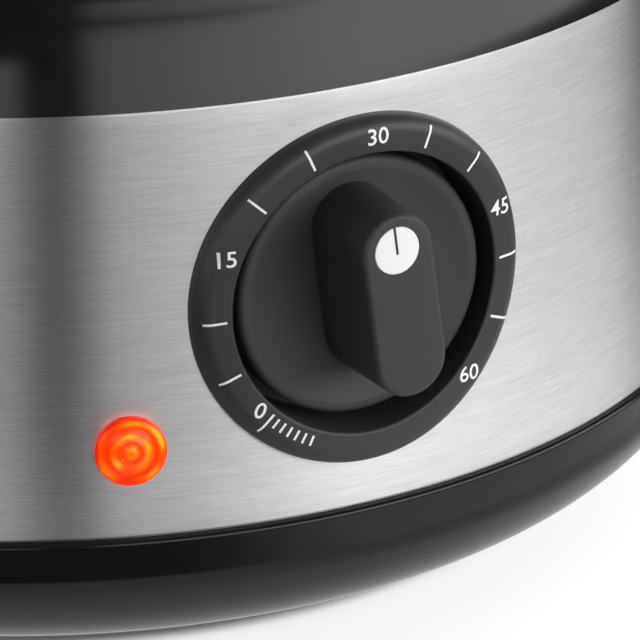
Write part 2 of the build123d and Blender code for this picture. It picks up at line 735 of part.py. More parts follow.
def egg_tray():
    tray = tray_shell()
    collar_lip = disc(EGG_R + EGG_LIP_W, TRAY_TOP - TRAY_T, TRAY_TOP + EGG_LIP)
    places = [Pos(0, 0, 0)] + [Rot(0, 0, a) * Pos(EGG_PLACE_R, 0, 0) for a in range(30, 390, 60)]
    tray += [place * collar_lip for place in places]
    for place in places:
        tray -= place * disc(EGG_R, 90, 130)
    for vent in around(disc(VENT_R, 90, 130), TRAY_VENT_PLACE_R, range(0, 360, 60)):
        tray -= vent
    return tray


def tray_grips():
    """The two finger loops that the tray is lifted by."""
    low = TRAY_TOP
    top = TRAY_TOP + GRIP_H
    loops = []
    for side in (-1, 1):
        x = side * GRIP_X
        corners = [(x, -GRIP_HALF, low), (x, -GRIP_HALF, top), (x, GRIP_HALF, top), (x, GRIP_HALF, low)]
        path = FilletPolyline(*corners, radius=GRIP_CORNER_R)
        loops.append(sweep(Plane(origin=path @ 0, z_dir=path % 0) * Circle(GRIP_TUBE_R), path=path))
    return loops


def lid_form(inset):
    """The lid's dome as a solid, drawn in by a wall thickness."""
    top = LID_TOP - inset
    wall_r = LID_WALL_R - inset
    shoulder_r = LID_SHOULDER_R - inset
    shoulder_z = LID_SHOULDER_Z - inset
    form = turned(
        Line(pt(0, LID_REST_Z), pt(wall_r, LID_REST_Z)),
        Line(pt(wall_r, LID_REST_Z), pt(shoulder_r, shoulder_z)),
        crown(shoulder_r, shoulder_z, top),
        Line(pt(0, top), pt(0, LID_REST_Z)),
    )
    edge = form.edges().filter_by(lambda e: abs(e.center().Z - shoulder_z) < 0.1)
    return fillet(edge, LID_CORNER_R - inset)


def lid_dome():
    """The clear lid, with a thicker rim, a flat pad for its knob and three steam vents."""
    lid = lid_form(0) + tube(LID_RIM_R, LID_WALL_R - 1, LID_REST_Z, LID_REST_Z + LID_RIM_H)
    lid += disc(LID_PAD_R, LID_TOP - LID_T, LID_PAD_TOP)
    lid -= lid_form(LID_T)
    lid -= disc(LID_SCREW_WAY_R, 150, 180)
    for vent in around(disc(VENT_R, 150, 180), LID_VENT_PLACE_R, LID_VENT_ANGLES):
        lid -= vent
    return lid


def lid_knob():
    """The lid's round handle: a waisted neck under a wide domed cap."""
    base = LID_PAD_TOP
    head = turned(
        Line(pt(0, base), pt(11.0, base)),
        ThreePointArc(pt(11.0, base), pt(7.6, base + 5), pt(10.5, base + 10)),
        ThreePointArc(pt(10.5, base + 10), pt(15.5, base + 11.6), pt(19.0, base + 14.4)),
        ThreePointArc(pt(19.0, base + 14.4), pt(19.3, base + 16.4), pt(18.2, base + 18.2)),
        crown(18.2, base + 18.2, LID_KNOB_TOP),
        Line(pt(0, LID_KNOB_TOP), pt(0, base)),
    )
    return head - disc(2.0, base - 1, base + 12)


def lid_washer():
    return tube(7.0, LID_SCREW_WAY_R - 0.1, WASHER_Z, WASHER_Z + WASHER_T)


def lid_screw():
    screw = disc(1.95, WASHER_Z, LID_PAD_TOP + 11) + disc(4.2, WASHER_Z - 2.4, WASHER_Z)
    return screw - block(10, 1.0, WASHER_Z - 3, WASHER_Z - 1.4)


NODES = {
    "base_pan": base_pan, "rubber_feet": rubber_feet, "base_screws": base_screws,
    "steel_band": steel_band, "collar": collar, "dish_gasket": dish_gasket,
    "water_dish": water_dish, "heat_plate": heat_plate, "heating_element": heating_element,
    "element_terminals": element_terminals, "thermostat": thermostat,
    "thermostat_bracket": thermostat_bracket, "thermostat_screws": thermostat_screws,
    "thermal_fuse": thermal_fuse, "fuse_clip": fuse_clip, "plate_studs": plate_studs,
    "shield_spacers": shield_spacers, "heat_shield": heat_shield, "shield_nuts": shield_nuts,
    "dial_ring": dial_ring, "timer_screws": timer_screws, "knob": knob,
    "pointer_dot": pointer_dot, "timer_shaft": timer_shaft, "knob_clip": knob_clip,
    "timer_front_plate": timer_front_plate, "timer_rear_plate": timer_rear_plate,
    "timer_pillars": timer_pillars, "main_wheel": main_wheel, "second_arbor": second_arbor,
    "second_wheel": second_wheel, "spring_barrel": spring_barrel, "mainspring": mainspring,
    "switch_cam": switch_cam, "switch_block": switch_block, "contact_leaves": contact_leaves,
    "indicator_lens": indicator_lens, "lens_clip": lens_clip, "neon_lamp": neon_lamp,
    "lamp_holder": lamp_holder, "cord_inlet": cord_inlet, "terminal_block": terminal_block,
    "terminal_screws": terminal_screws, "inner_leads": inner_leads, "egg_tray": egg_tray,
    "tray_grips": tray_grips, "lid_dome": lid_dome, "lid_knob": lid_knob,
    "lid_washer": lid_washer, "lid_screw": lid_screw,
}

os.makedirs("parts", exist_ok=True)
for name, make in NODES.items():
    shape = make()
    solids = shape if isinstance(shape, list) else shape.solids()
    export_step(Compound(children=[s for part in solids for s in part.solids()]), f"parts/{name}.step")
    print(name, len(solids))
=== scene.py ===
# %% [markdown]
# # An egg cooker in brushed steel and black plastic
# The object is a round steel drum on a black base. A glossy collar closes it, a clear lid covers
# the eggs, and the front carries a clockwork dial and a lit lamp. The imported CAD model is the
# frame: it says where everything is. Blender remakes the pieces that show, with rounder edges,
# finer detail and real finishes, and lays a finish on every CAD piece that stays.

# %% Load the frame
import json
import math

import bmesh
import bpy
from mathutils import Matrix
from mathutils import Vector
from mathutils.bvhtree import BVHTree


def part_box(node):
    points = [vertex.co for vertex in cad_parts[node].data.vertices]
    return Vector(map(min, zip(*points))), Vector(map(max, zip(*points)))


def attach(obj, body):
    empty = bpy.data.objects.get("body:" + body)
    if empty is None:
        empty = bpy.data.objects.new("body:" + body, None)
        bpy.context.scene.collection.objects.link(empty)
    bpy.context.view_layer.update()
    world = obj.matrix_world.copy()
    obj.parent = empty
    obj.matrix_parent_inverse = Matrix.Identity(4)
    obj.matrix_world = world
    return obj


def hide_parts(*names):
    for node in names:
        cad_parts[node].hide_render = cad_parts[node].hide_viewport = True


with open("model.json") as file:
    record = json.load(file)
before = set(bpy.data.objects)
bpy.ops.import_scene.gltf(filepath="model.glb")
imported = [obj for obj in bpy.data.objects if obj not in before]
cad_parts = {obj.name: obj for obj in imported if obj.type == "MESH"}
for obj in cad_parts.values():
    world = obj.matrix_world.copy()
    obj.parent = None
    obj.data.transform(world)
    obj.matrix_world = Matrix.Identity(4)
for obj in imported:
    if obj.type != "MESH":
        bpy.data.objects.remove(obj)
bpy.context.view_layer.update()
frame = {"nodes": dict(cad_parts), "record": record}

# %% [markdown]
# ## The sizes that everything hangs on
# A few sizes are read from the frame's boxes, so the pieces follow the CAD by themselves. All
# outlines below are written in millimetres, because that is how such parts are drawn, and one
# scale turns them into Blender's metres.

# %% Read the driving sizes
MM = 0.001
band_low, band_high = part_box("steel_band")
ring_low, ring_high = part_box("dial_ring")
lens_low, lens_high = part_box("indicator_lens")
dish_low, dish_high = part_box("water_dish")
head_low, head_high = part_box("lid_knob")
inlet_low, inlet_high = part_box("cord_inlet")
pan_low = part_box("base_pan")[0]
tray_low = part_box("egg_tray")[0]
lid_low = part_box("lid_dome")[0]

BAND_R = band_high.x / MM
BAND_FOOT = band_low.z / MM
BAND_H = 61.8
BAND_TOP = BAND_FOOT + BAND_H
RING_R = (ring_high.x - ring_low.x) / 2 / MM
DIAL_Z = (ring_low.z + ring_high.z) / 2 / MM
LAMP_Z = (lens_low.z + lens_high.z) / 2 / MM
LAMP_TURN = math.radians(-19.2)
INLET_Z = (inlet_low.z + inlet_high.z) / 2 / MM
print("band radius", round(BAND_R, 2), "dial height", round(DIAL_Z, 2), "ring radius", RING_R)

# %% [markdown]
# ## Three places to build in
# A dial is easiest to draw lying flat, with its axis straight up, and so is a lamp or a gland.
# Each such piece is modelled like that, with heights counted from the body's own axis, and one
# matrix then stands it up at the front, at the lamp's place or at the rear.

# %% Frames for the dial, the lamp and the gland
def standing(turn, height):
    """A matrix that stands a flat-drawn piece up on the drum, turned round it by an angle."""
    up = Matrix.Rotation(math.radians(90), 4, "X")
    lift = Matrix.Translation((0, 0, height * MM))
    return Matrix.Rotation(turn, 4, "Z") @ lift @ up


ON_DIAL = standing(0, DIAL_Z)
ON_LAMP = standing(LAMP_TURN, LAMP_Z)
ON_INLET = standing(math.pi, INLET_Z)
KNOB_TILT = math.radians(7.4)
ON_KNOB = ON_DIAL @ Matrix.Rotation(KNOB_TILT, 4, "Z")
print("dial axis points to", tuple(round(v, 3) for v in ON_DIAL.to_3x3() @ Vector((0, 0, 1))))

# %% [markdown]
# ## Shader sums in Python
# Wiring Math nodes by hand hides what a finish does. This small class wraps a node's output and
# overloads the signs, so `1 - mask * 0.3` adds the nodes by itself. The reflected forms make the
# plain number on the left work too.

# %% Wires between nodes
class Wire:
    """A node's output that can stand in a Python sum."""

    def __init__(self, tree, socket):
        self.tree = tree
        self.socket = socket

    def math(self, operation, other=0.0, swap=False):
        node = self.tree.nodes.new("ShaderNodeMath")
        node.operation = operation
        pair = (other, self) if swap else (self, other)
        for place, value in zip(node.inputs, pair):
            plug(self.tree, place, value)
        return Wire(self.tree, node.outputs[0])

    def __add__(self, other):
        return self.math("ADD", other)

    def __sub__(self, other):
        return self.math("SUBTRACT", other)

    def __rsub__(self, other):
        return self.math("SUBTRACT", other, swap=True)

    def __mul__(self, other):
        return self.math("MULTIPLY", other)

    def __pow__(self, other):
        return self.math("POWER", other)

    __radd__ = __add__
    __rmul__ = __mul__


def plug(tree, place, value):
    """Feeds a socket from a wire, or sets it to a plain value."""
    if isinstance(value, Wire):
        tree.links.new(value.socket, place)
    else:
        place.default_value = value


# %% [markdown]
# ## A finish and its nodes
# Every finish is one Principled shader. What is the same all over, such as a coat or a metal's
# anisotropy, is set on the shader's own socket. What varies comes from noise on Object
# coordinates, which are metres on the real piece, so a grain of a fifth of a millimetre is
# written as just that. One method adds any node from its type, its settings and its sockets. The
# others are for what comes back often, such as a noise, a bump, a mix of two colours, the
# distance from the middle or a smooth rise between two values.

# %% The finish class
class Finish:
    """A material with one Principled shader and a short way to add nodes."""

    def __init__(self, name, **sockets):
        self.material = bpy.data.materials.new(name)
        self.material.use_nodes = True
        self.tree = self.material.node_tree
        self.shader = self.tree.nodes["Principled BSDF"]
        for socket, value in sockets.items():
            self.set(socket, value)

    def set(self, socket, value):
        plug(self.tree, self.shader.inputs[socket.replace("_", " ")], value)

    def node(self, kind, settings=None, output=0, **sockets):
        node = self.tree.nodes.new("ShaderNode" + kind)
        for key, value in (settings or {}).items():
            if key == "stops":
                self.stops(node, value)
            else:
                setattr(node, key, value)
        for socket, value in sockets.items():
            name = socket.replace("_", " ")
            place = node.inputs[int(name[1:])] if name[1:].isdigit() else node.inputs[name]
            plug(self.tree, place, value)
        return Wire(self.tree, node.outputs[output])

    @staticmethod
    def stops(node, stops):
        elements = node.color_ramp.elements
        while len(elements) < len(stops):
            elements.new(0.5)
        for element, (place, colour) in zip(elements, stops):
            element.position = place
            element.color = (*colour, 1.0)

    def place(self):
        """Object coordinates, in metres on the real piece."""
        return self.node("TexCoord", output=3)

    def split(self, vector):
        """The x, y and z of a vector, each as a wire."""
        parts = self.tree.nodes.new("ShaderNodeSeparateXYZ")
        plug(self.tree, parts.inputs[0], vector)
        return [Wire(self.tree, part) for part in parts.outputs]

    def reach(self):
        """The distance from the middle, in metres."""
        return self.node("VectorMath", {"operation": "LENGTH"}, output=1, Vector=self.place())

    def fade(self, value, low, high, top=1.0):
        """0 below one value and the top above another, with a smooth rise between them."""
        return self.node("MapRange", {"interpolation_type": "SMOOTHSTEP"}, Value=value,
                         From_Min=low, From_Max=high, To_Min=0.0, To_Max=top)

    def stretched(self, x, y, z):
        """Object coordinates counted in steps of x, y and z millimetres."""
        steps = Vector((1 / (x * MM), 1 / (y * MM), 1 / (z * MM)))
        return self.node("VectorMath", {"operation": "MULTIPLY"}, _0=self.place(), _1=steps)

    def noise(self, x, y=None, z=None, detail=2.0, rough=0.5):
        """Noise whose lumps measure x by y by z millimetres, about 0.5 on average."""
        vector = self.stretched(x, y or x, z or x)
        return self.node("TexNoise", Vector=vector, Scale=1.0, Detail=detail, Roughness=rough)

    def bump(self, height, depth):
        """A bump of a real depth in millimetres."""
        return self.node("Bump", Height=height, Distance=depth * MM, Strength=1.0)

    def blend(self, factor, first, second):
        """A colour between two colours."""
        mix = self.tree.nodes.new("ShaderNodeMix")
        mix.data_type = "RGBA"
        for place, value in (("Factor_Float", factor), ("A_Color", first), ("B_Color", second)):
            socket = next(s for s in mix.inputs if s.identifier == place)
            plug(self.tree, socket, (*value, 1.0) if isinstance(value, tuple) else value)
        return Wire(self.tree, next(s for s in mix.outputs if s.identifier == "Result_Color"))


# %% [markdown]
# ## Brushed steel
# The band is stainless sheet brushed along its length, so its scratches run round the drum. On
# the real sheet they are a tenth of a millimetre wide and centimetres long. Noise squeezed in Z
# and stretched in X and Y gives just that, on any side of the drum, with no seam. A second,
# shorter noise breaks the long scratches up. The scratches also spread a reflection up and down
# but hardly sideways, which is what anisotropy does, so the lights show as soft upright stripes.

# %% Make the steel finishes
def brushed_steel():
    steel = Finish("brushed_steel", Metallic=1.0, Anisotropic=1.0, Anisotropic_Rotation=0.25)
    scratch = steel.noise(18, z=0.16, detail=3.0, rough=0.6)
    grain = steel.noise(4.5, z=0.24, detail=3.0, rough=0.65)
    streak = steel.noise(60, z=0.9, detail=2.0)
    cloud = steel.noise(30, detail=1.0)
    shade = scratch * 0.42 + grain * 0.5 + streak * 0.14 + cloud * 0.08
    contrast = shade * 1.6 - 0.41
    steel.set("Base Color", steel.blend(contrast, (0.62, 0.62, 0.62), (1.0, 0.995, 0.99)))
    steel.set("Roughness", scratch * 0.08 + 0.29)
    steel.set("Normal", steel.bump(scratch + streak * 0.5, 0.012))
    return steel.material


def dull_metal(name, low, high, roughness, grain=0.4, depth=0.006):
    """A plated or cast metal: a fine even grain and slow changes in tone."""
    metal = Finish(name, Metallic=1.0)
    tone = metal.noise(9, detail=3.0)
    fine = metal.noise(grain, detail=2.0)
    metal.set("Base Color", metal.blend(tone, low, high))
    metal.set("Roughness", tone * 0.15 + (roughness - 0.07))
    metal.set("Normal", metal.bump(fine, depth))
    return metal.material


BRUSHED_STEEL = brushed_steel()
DISH_STEEL = dull_metal("satin_steel", (0.50, 0.50, 0.50), (0.66, 0.66, 0.65), 0.28)
ZINC = dull_metal("zinc_plate", (0.44, 0.45, 0.46), (0.60, 0.61, 0.63), 0.36)
SPRING_STEEL = dull_metal("spring_steel", (0.28, 0.29, 0.31), (0.42, 0.43, 0.45), 0.32)
BRASS = dull_metal("stamped_brass", (0.60, 0.45, 0.19), (0.76, 0.60, 0.30), 0.30)
CAST = dull_metal("cast_aluminium", (0.46, 0.46, 0.47), (0.60, 0.60, 0.61), 0.5, 0.6, 0.03)
SHEATH = dull_metal("element_sheath", (0.12, 0.11, 0.10), (0.30, 0.27, 0.24), 0.45)
print("metal finishes:", [m.name for m in bpy.data.materials if m.use_nodes][:8])

# %% [markdown]
# ## Black plastics
# Four black mouldings sit side by side and must not look alike. The collar and base are polished
# and reflect the room, with the faint waviness of thick plastic. The scale ring is satin. The
# knob and tray are spark-eroded: a fine even grain that scatters light, so bumps about a
# quarter of a millimetre across carry it.

# %% Make the plastics
def polished_black():
    black = Finish("polished_black", Specular_IOR_Level=0.34)
    wave = black.noise(14, detail=1.0)
    haze = black.noise(3.5, detail=4.0, rough=0.65)
    black.set("Base Color", black.blend(haze, (0.0085, 0.0085, 0.0088), (0.0135, 0.0135, 0.0139)))
    black.set("Roughness", haze * 0.10 + 0.07)
    black.set("Normal", black.bump(wave, 0.02))
    return black.material


def grained_black(name, tone, roughness, grain, depth):
    """Moulded plastic with a spark-eroded grain of a given size and depth in millimetres."""
    black = Finish(name)
    fine = black.noise(grain, detail=2.0, rough=0.7)
    patch = black.noise(11, detail=2.0)
    low = (tone * 0.8, tone * 0.8, tone * 0.82)
    high = (tone * 1.3, tone * 1.3, tone * 1.32)
    black.set("Base Color", black.blend(fine * 0.6 + patch * 0.4, low, high))
    black.set("Roughness", patch * 0.08 + (roughness - 0.04) + fine * 0.06)
    black.set("Normal", black.bump(fine, depth))
    return black.material


def moulded(name, low, high, roughness=0.45, grain=0.5, depth=0.01):
    """A coloured moulding with a slow change of tone and a faint grain."""
    plastic = Finish(name)
    tone = plastic.noise(7, detail=3.0)
    plastic.set("Base Color", plastic.blend(tone, low, high))
    plastic.set("Roughness", tone * 0.12 + (roughness - 0.06))
    plastic.set("Normal", plastic.bump(plastic.noise(grain), depth))
    return plastic.material


POLISHED = polished_black()
SATIN = grained_black("satin_black", 0.036, 0.42, 0.35, 0.006)
GRAINED = grained_black("grained_black", 0.041, 0.55, 0.26, 0.05)
RUBBER = grained_black("foot_rubber", 0.022, 0.75, 0.5, 0.02)
PRINT = moulded("white_print", (0.92, 0.92, 0.91), (0.98, 0.98, 0.97), 0.5, 0.3, 0.004)
SILICONE = moulded("grey_silicone", (0.42, 0.42, 0.41), (0.55, 0.55, 0.53), 0.6)
PHENOLIC = moulded("brown_phenolic", (0.10, 0.045, 0.02), (0.20, 0.09, 0.045), 0.4)
NYLON = moulded("natural_nylon", (0.66, 0.64, 0.58), (0.80, 0.78, 0.72), 0.5)
JACKET = moulded("wire_jacket", (0.40, 0.09, 0.06), (0.58, 0.16, 0.10), 0.65, 0.3, 0.05)
SLEEVE = moulded("woven_sleeve", (0.58, 0.56, 0.50), (0.76, 0.74, 0.68), 0.8, 0.3, 0.06)

# %% [markdown]
# ## Clear and glowing plastics
# The lid is clear moulded plastic: it lets light through and bends it a little, with a trace of
# haze from use. The lamp's cap is deep orange. The steps moulded in it break the glow into
# rings, so the brightness follows a wave counted from the lamp's axis. A slow noise makes only
# some arcs of each ring hot, and the rim stays a deep red.

# %% Make the clear and lit finishes
CAP_R = 5.0


def clear_plastic():
    clear = Finish("clear_plastic", Transmission_Weight=1.0, IOR=1.49)
    haze = clear.noise(6, detail=4.0)
    clear.set("Base Color", clear.blend(haze, (0.90, 0.91, 0.92), (0.97, 0.97, 0.97)))
    clear.set("Roughness", haze * 0.05 + 0.01)
    clear.set("Normal", clear.bump(clear.noise(30), 0.05))
    return clear.material


def lit_cap():
    cap = Finish("lit_orange", Roughness=0.18, Specular_IOR_Level=0.25, Emission_Strength=0.86)
    flat = cap.node("Mapping", {"vector_type": "TEXTURE"}, Vector=cap.place(),
                    Location=ON_LAMP.to_translation(), Rotation=Vector(ON_LAMP.to_euler()))
    x, y, _ = cap.split(flat)
    across = (x * x + y * y) ** 0.5 * (1 / (CAP_R * MM))
    rings = (across * 16.0 + 0.2).math("SINE") * 0.5 + 0.5
    patch = (cap.noise(5.0, detail=1.0) - 0.42) * 4.5
    fleck = cap.noise(0.9, detail=2.0, rough=0.6)
    glow = rings * patch * 0.50 + fleck * 0.16 - across ** 4 * 0.30 + 0.29
    hot = cap.node("ValToRGB", {"stops": [
        (0.20, (0.70, 0.010, 0.002)), (0.42, (1.0, 0.075, 0.001)),
        (0.62, (1.0, 0.20, 0.003)), (0.88, (1.0, 0.72, 0.02)),
    ]}, Fac=glow)
    cap.set("Base Color", cap.blend(rings, (0.40, 0.01, 0.0), (0.60, 0.04, 0.002)))
    cap.set("Emission Color", hot)
    return cap.material


def glowing_glass():
    glass = Finish("neon_glass", Roughness=0.1, Emission_Strength=2.0)
    tone = glass.noise(1.5)
    glass.set("Base Color", glass.blend(tone, (0.9, 0.3, 0.1), (1.0, 0.5, 0.2)))
    glass.set("Emission Color", glass.blend(tone, (1.0, 0.2, 0.03), (1.0, 0.4, 0.1)))
    return glass.material


CLEAR = clear_plastic()
LIT_CAP = lit_cap()
NEON = glowing_glass()
print("finishes so far:", len(bpy.data.materials))

# %% [markdown]
# ## Outlines with rounded corners
# Most of the cooker is turned: half a cross-section, spun round an axis. A mould-maker draws
# such a section as straight runs with a radius at each corner, and so does this helper. Each
# corner is (radius, height, rounding), and a rounding of 0 keeps it sharp. A long bowed stretch,
# like the base's skirt, is one arc given by its ends and how far it bows out.

# %% Outline helpers
def rounded(corners):
    """Corners (r, z, rounding) in millimetres into a closed outline of points with arcs."""
    points = []
    count = len(corners)
    for i, (r, z, radius) in enumerate(corners):
        here = Vector((r, z))
        if radius == 0:
            points.append(here)
            continue
        back = (Vector(corners[i - 1][:2]) - here).normalized()
        on = (Vector(corners[(i + 1) % count][:2]) - here).normalized()
        half = back.angle(on) / 2
        centre = here + (back + on).normalized() * (radius / math.sin(half))
        start = here + back * (radius / math.tan(half)) - centre
        sweep = (math.pi - 2 * half) * (1 if back.cross(on) < 0 else -1)
        steps = max(3, round(abs(sweep) / math.radians(11)))
        for step in range(steps + 1):
            turn = Matrix.Rotation(sweep * step / steps, 2)
            points.append(centre + turn @ start)
    return points


def bow(start, end, bulge, steps=20):
    """An arc between two (r, z) points that bows to the right of its way by a bulge."""
    a, b = Vector(start), Vector(end)
    chord = b - a
    side = Vector((chord.y, -chord.x)).normalized()
    radius = (chord.length_squared / 4 + bulge ** 2) / (2 * bulge)
    centre = (a + b) / 2 - side * (radius - bulge)
    turn = (a - centre).angle_signed(b - centre)
    spokes = (Matrix.Rotation(-turn * i / steps, 2) @ (a - centre) for i in range(steps + 1))
    return [(*(centre + spoke), 0) for spoke in spokes]


def lathe(corners, steps=192):
    """Spins a closed outline round the Z axis into one closed mesh."""
    bm = bmesh.new()
    points = rounded(corners)
    ring = [bm.verts.new((p.x * MM, 0, p.y * MM)) for p in points]
    rim = [bm.edges.new(pair) for pair in zip(ring, ring[1:] + ring[:1])]
    bmesh.ops.spin(bm, geom=ring + rim, cent=(0, 0, 0), axis=(0, 0, 1),
                   angle=math.tau, steps=steps, use_merge=True)
    bmesh.ops.remove_doubles(bm, verts=bm.verts, dist=1e-6)
    bmesh.ops.recalc_face_normals(bm, faces=bm.faces)
    return bm


# %% [markdown]
# ## Turning a bmesh into a piece
# A finished piece needs a mesh, a finish, smooth shading that stays crisp at real edges and a
# body to ride on. Where it takes over from a CAD node, that node is hidden. One helper does all
# of it, and says how many faces it made. Holes are cut by a Boolean modifier, applied at once,
# because a drilled hole is exactly that operation.

# %% Piece helpers
def mesh_of(name, bm):
    mesh = bpy.data.meshes.new(name)
    bm.to_mesh(mesh)
    bm.free()
    piece = bpy.data.objects.new(name, mesh)
    bpy.context.scene.collection.objects.link(piece)
    return piece


def combine(piece, tools, operation="DIFFERENCE"):
    """Cuts the tools out of a piece, or joins them to it, and removes the tools."""
    for tool in tools:
        change = piece.modifiers.new("combine", "BOOLEAN")
        change.operation = operation
        change.object = tool
        change.solver = "EXACT"
    bpy.context.view_layer.update()
    graph = bpy.context.evaluated_depsgraph_get()
    shaped = bpy.data.meshes.new_from_object(piece.evaluated_get(graph))
    piece.modifiers.clear()
    piece.data = shaped
    for tool in tools:
        bpy.data.objects.remove(tool)
    return piece


def rod(radius, low, high, matrix=Matrix.Identity(4), segments=96, at=(0, 0)):
    """A plain round cutter between two heights, in millimetres, put in place by a matrix."""
    bm = bmesh.new()
    bmesh.ops.create_cone(bm, cap_ends=True, segments=segments, radius1=radius * MM,
                          radius2=radius * MM, depth=(high - low) * MM)
    shift = Vector((at[0], at[1], (high + low) / 2)) * MM
    bmesh.ops.transform(bm, matrix=matrix @ Matrix.Translation(shift), verts=bm.verts)
    return mesh_of("cutter", bm)


def settle(piece, finish, body, nodes, crisp=35):
    """Gives a piece its finish, its shading and its body, and hides the CAD nodes it stands for.
    """
    piece.data.materials.clear()
    piece.data.materials.append(finish)
    piece.data.shade_smooth()
    piece.data.set_sharp_from_angle(angle=math.radians(crisp))
    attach(piece, body)
    if nodes:
        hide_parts(*nodes)
    print(piece.name, "faces", len(piece.data.polygons))
    return piece


def moved(bm, matrix):
    bmesh.ops.transform(bm, matrix=matrix, verts=bm.verts)
    return bm


def corners_of(geometry):
    """Only the vertices of what an operator has made."""
    return [v for v in geometry if isinstance(v, bmesh.types.BMVert)]


# %% [markdown]
# ## The steel band
# On the real cooker this is one strip of thin sheet, rolled into a drum. Its top and bottom
# edges curl in slightly before they vanish under the collar and behind the base, and each curl
# catches a thin line of light. Spinning the strip's section makes the drum. The rows between
# the edges do not change its shape, they only keep its faces small where holes are drilled.

# %% Roll and drill the band
BAND_WALL = 0.8
BAND_TUCK = 3.2
ROW_GAP = 3.6
DRILLED = ((21.6, ON_DIAL), (4.35, ON_LAMP), (6.1, ON_INLET))


def steel_band():
    inner = BAND_R - BAND_WALL
    neck = BAND_R - 0.55
    rows = [(BAND_R, BAND_FOOT + 4 + ROW_GAP * i, 0) for i in range(16)]
    bm = lathe([
        (inner, BAND_FOOT, 0), (BAND_R - 0.3, BAND_FOOT - 0.1, 0.12),
        (BAND_R, BAND_FOOT + 0.3, 0.35), *rows, (BAND_R, BAND_TOP - 0.55, 1.1),
        (neck, BAND_TOP + 0.3, 0.4), (neck, BAND_TOP + BAND_TUCK, 0),
        (inner, BAND_TOP + BAND_TUCK, 0),
    ], steps=256)
    holes = [rod(radius, 80, 110, place) for radius, place in DRILLED]
    band = combine(mesh_of("brushed_band", bm), holes)
    return settle(band, BRUSHED_STEEL, "base", ["steel_band"])


steel_band()

# %% [markdown]
# ## The black base
# The base is a shallow bowl under the band. It starts upright, turns in at a soft crease and
# sweeps in to a flat bottom, which stands clear of the table on four rubber feet. A hair-thin
# gap parts it from the steel, and its rounded top edge draws the fine light line there. Screws
# sit deep in round wells underneath, so those are drilled as real holes.

# %% Mould the base and its feet
FLAT_R = 85.4
CREASE = (99.9, 17.1)
WELL_R = 3.2
WELL_PLACE_R = 81.5
FOOT_PLACE_R = 62.0
FOOT_PLACES = [Matrix.Rotation(math.radians(a), 4, "Z") for a in (45, 135, 225, 315)]


def base_shell():
    low = pan_low.z / MM
    curve = bow((FLAT_R, low), CREASE, 2.0, 32)[1:]
    bm = lathe([
        (0, low + 0.8, 0), (50, low + 0.8, 0.3), (50.8, low, 0.3), (FLAT_R, low, 0.4), *curve,
        (100.42, 18.3, 6), (100.55, 24.9, 0.75), (98.65, 24.9, 0.0),
        (98.6, 30, 0.4), (96.4, 30, 0.4), (96.4, 22, 4), (84.5, 7.2, 3), (0, 7.2, 0),
    ], steps=256)
    wells = [rod(WELL_R, 0, 10.5, turn, 48, at=(WELL_PLACE_R, 0)) for turn in FOOT_PLACES]
    base = combine(mesh_of("base_shell", bm), wells)
    return settle(base, POLISHED, "base", ["base_pan"])


def feet():
    """One turned foot, copied to four places; its underside has a shallow grip ring."""
    high = pan_low.z / MM
    bm = lathe([
        (0, 0.5, 0), (3.6, 0.5, 0.2), (4.2, 0, 0.2), (6.2, 0, 0.8), (7.0, 1.4, 0.8),
        (6.7, high, 0), (0, high, 0),
    ], steps=48)
    first = bm.verts[:]
    faces = bm.faces[:]
    for turn in FOOT_PLACES:
        copy = bmesh.ops.duplicate(bm, geom=first + faces)
        place = turn @ Matrix.Translation((FOOT_PLACE_R * MM, 0, 0))
        bmesh.ops.transform(bm, matrix=place, verts=corners_of(copy["geom"]))
    bmesh.ops.delete(bm, geom=first, context="VERTS")
    return settle(mesh_of("grip_feet", bm), RUBBER, "base", ["rubber_feet"])


base_shell()
feet()

# %% [markdown]
# ## The glossy collar
# The collar is the ring that closes the drum. Its lip stands a millimetre proud of the steel and
# ends in a crisp lower edge with only a trace of rounding. Above, it leans in with two shallow
# arcs to a narrow flat top, and inside it steps down to the ledge that carries the water dish.

# %% Mould the collar
COLLAR_LIP = (101.2, BAND_TOP + 0.2)
COLLAR_WAIST = (97.1, 99.4)
COLLAR_BROW = (92.6, 107.4)


def collar():
    wall = bow(COLLAR_LIP, COLLAR_WAIST, 0.41, 12)
    roll = bow(COLLAR_WAIST, COLLAR_BROW, 0.35, 8)[1:]
    bm = lathe([
        (100.95, BAND_TOP, 0), *wall, *roll, (91.9, 108.3, 0.8), (90, 108.3, 1.0),
        (90, 101, 0.5), (76.5, 101, 0.3), (76.5, 98.2, 0), (95.2, 98.2, 0), (96.4, 84, 0),
        (98.75, 84, 0), (98.75, 90.4, 0), (99.85, 90.4, 0), (99.85, BAND_TOP, 0.15),
    ], steps=256)
    return settle(mesh_of("gloss_collar", bm), POLISHED, "base", ["collar"])


collar()

# %% [markdown]
# ## The scale ring
# The printed ring hugs the drum, so it is not flat: seen from above it follows the steel. It is
# spun flat first, with heights counted from the steel, and then bent: every point drops by as
# much as the drum curves away under it. The deep cup behind the knob stays flat, so the bend
# fades out with depth.

# %% Spin and bend the ring
RING_TOP = 2.8
CUP_R = 20.07
CUP_DEPTH = 8.25
CUP_FLOOR = 1.4


def bend_over_drum(bm, fade=8.0):
    for vert in bm.verts:
        height = vert.co.z / MM
        drop = BAND_R - math.sqrt(BAND_R ** 2 - (vert.co.x / MM) ** 2)
        share = min(1.0, max(0.0, 1 + height / fade))
        vert.co.z = (BAND_R + height - drop * share) * MM


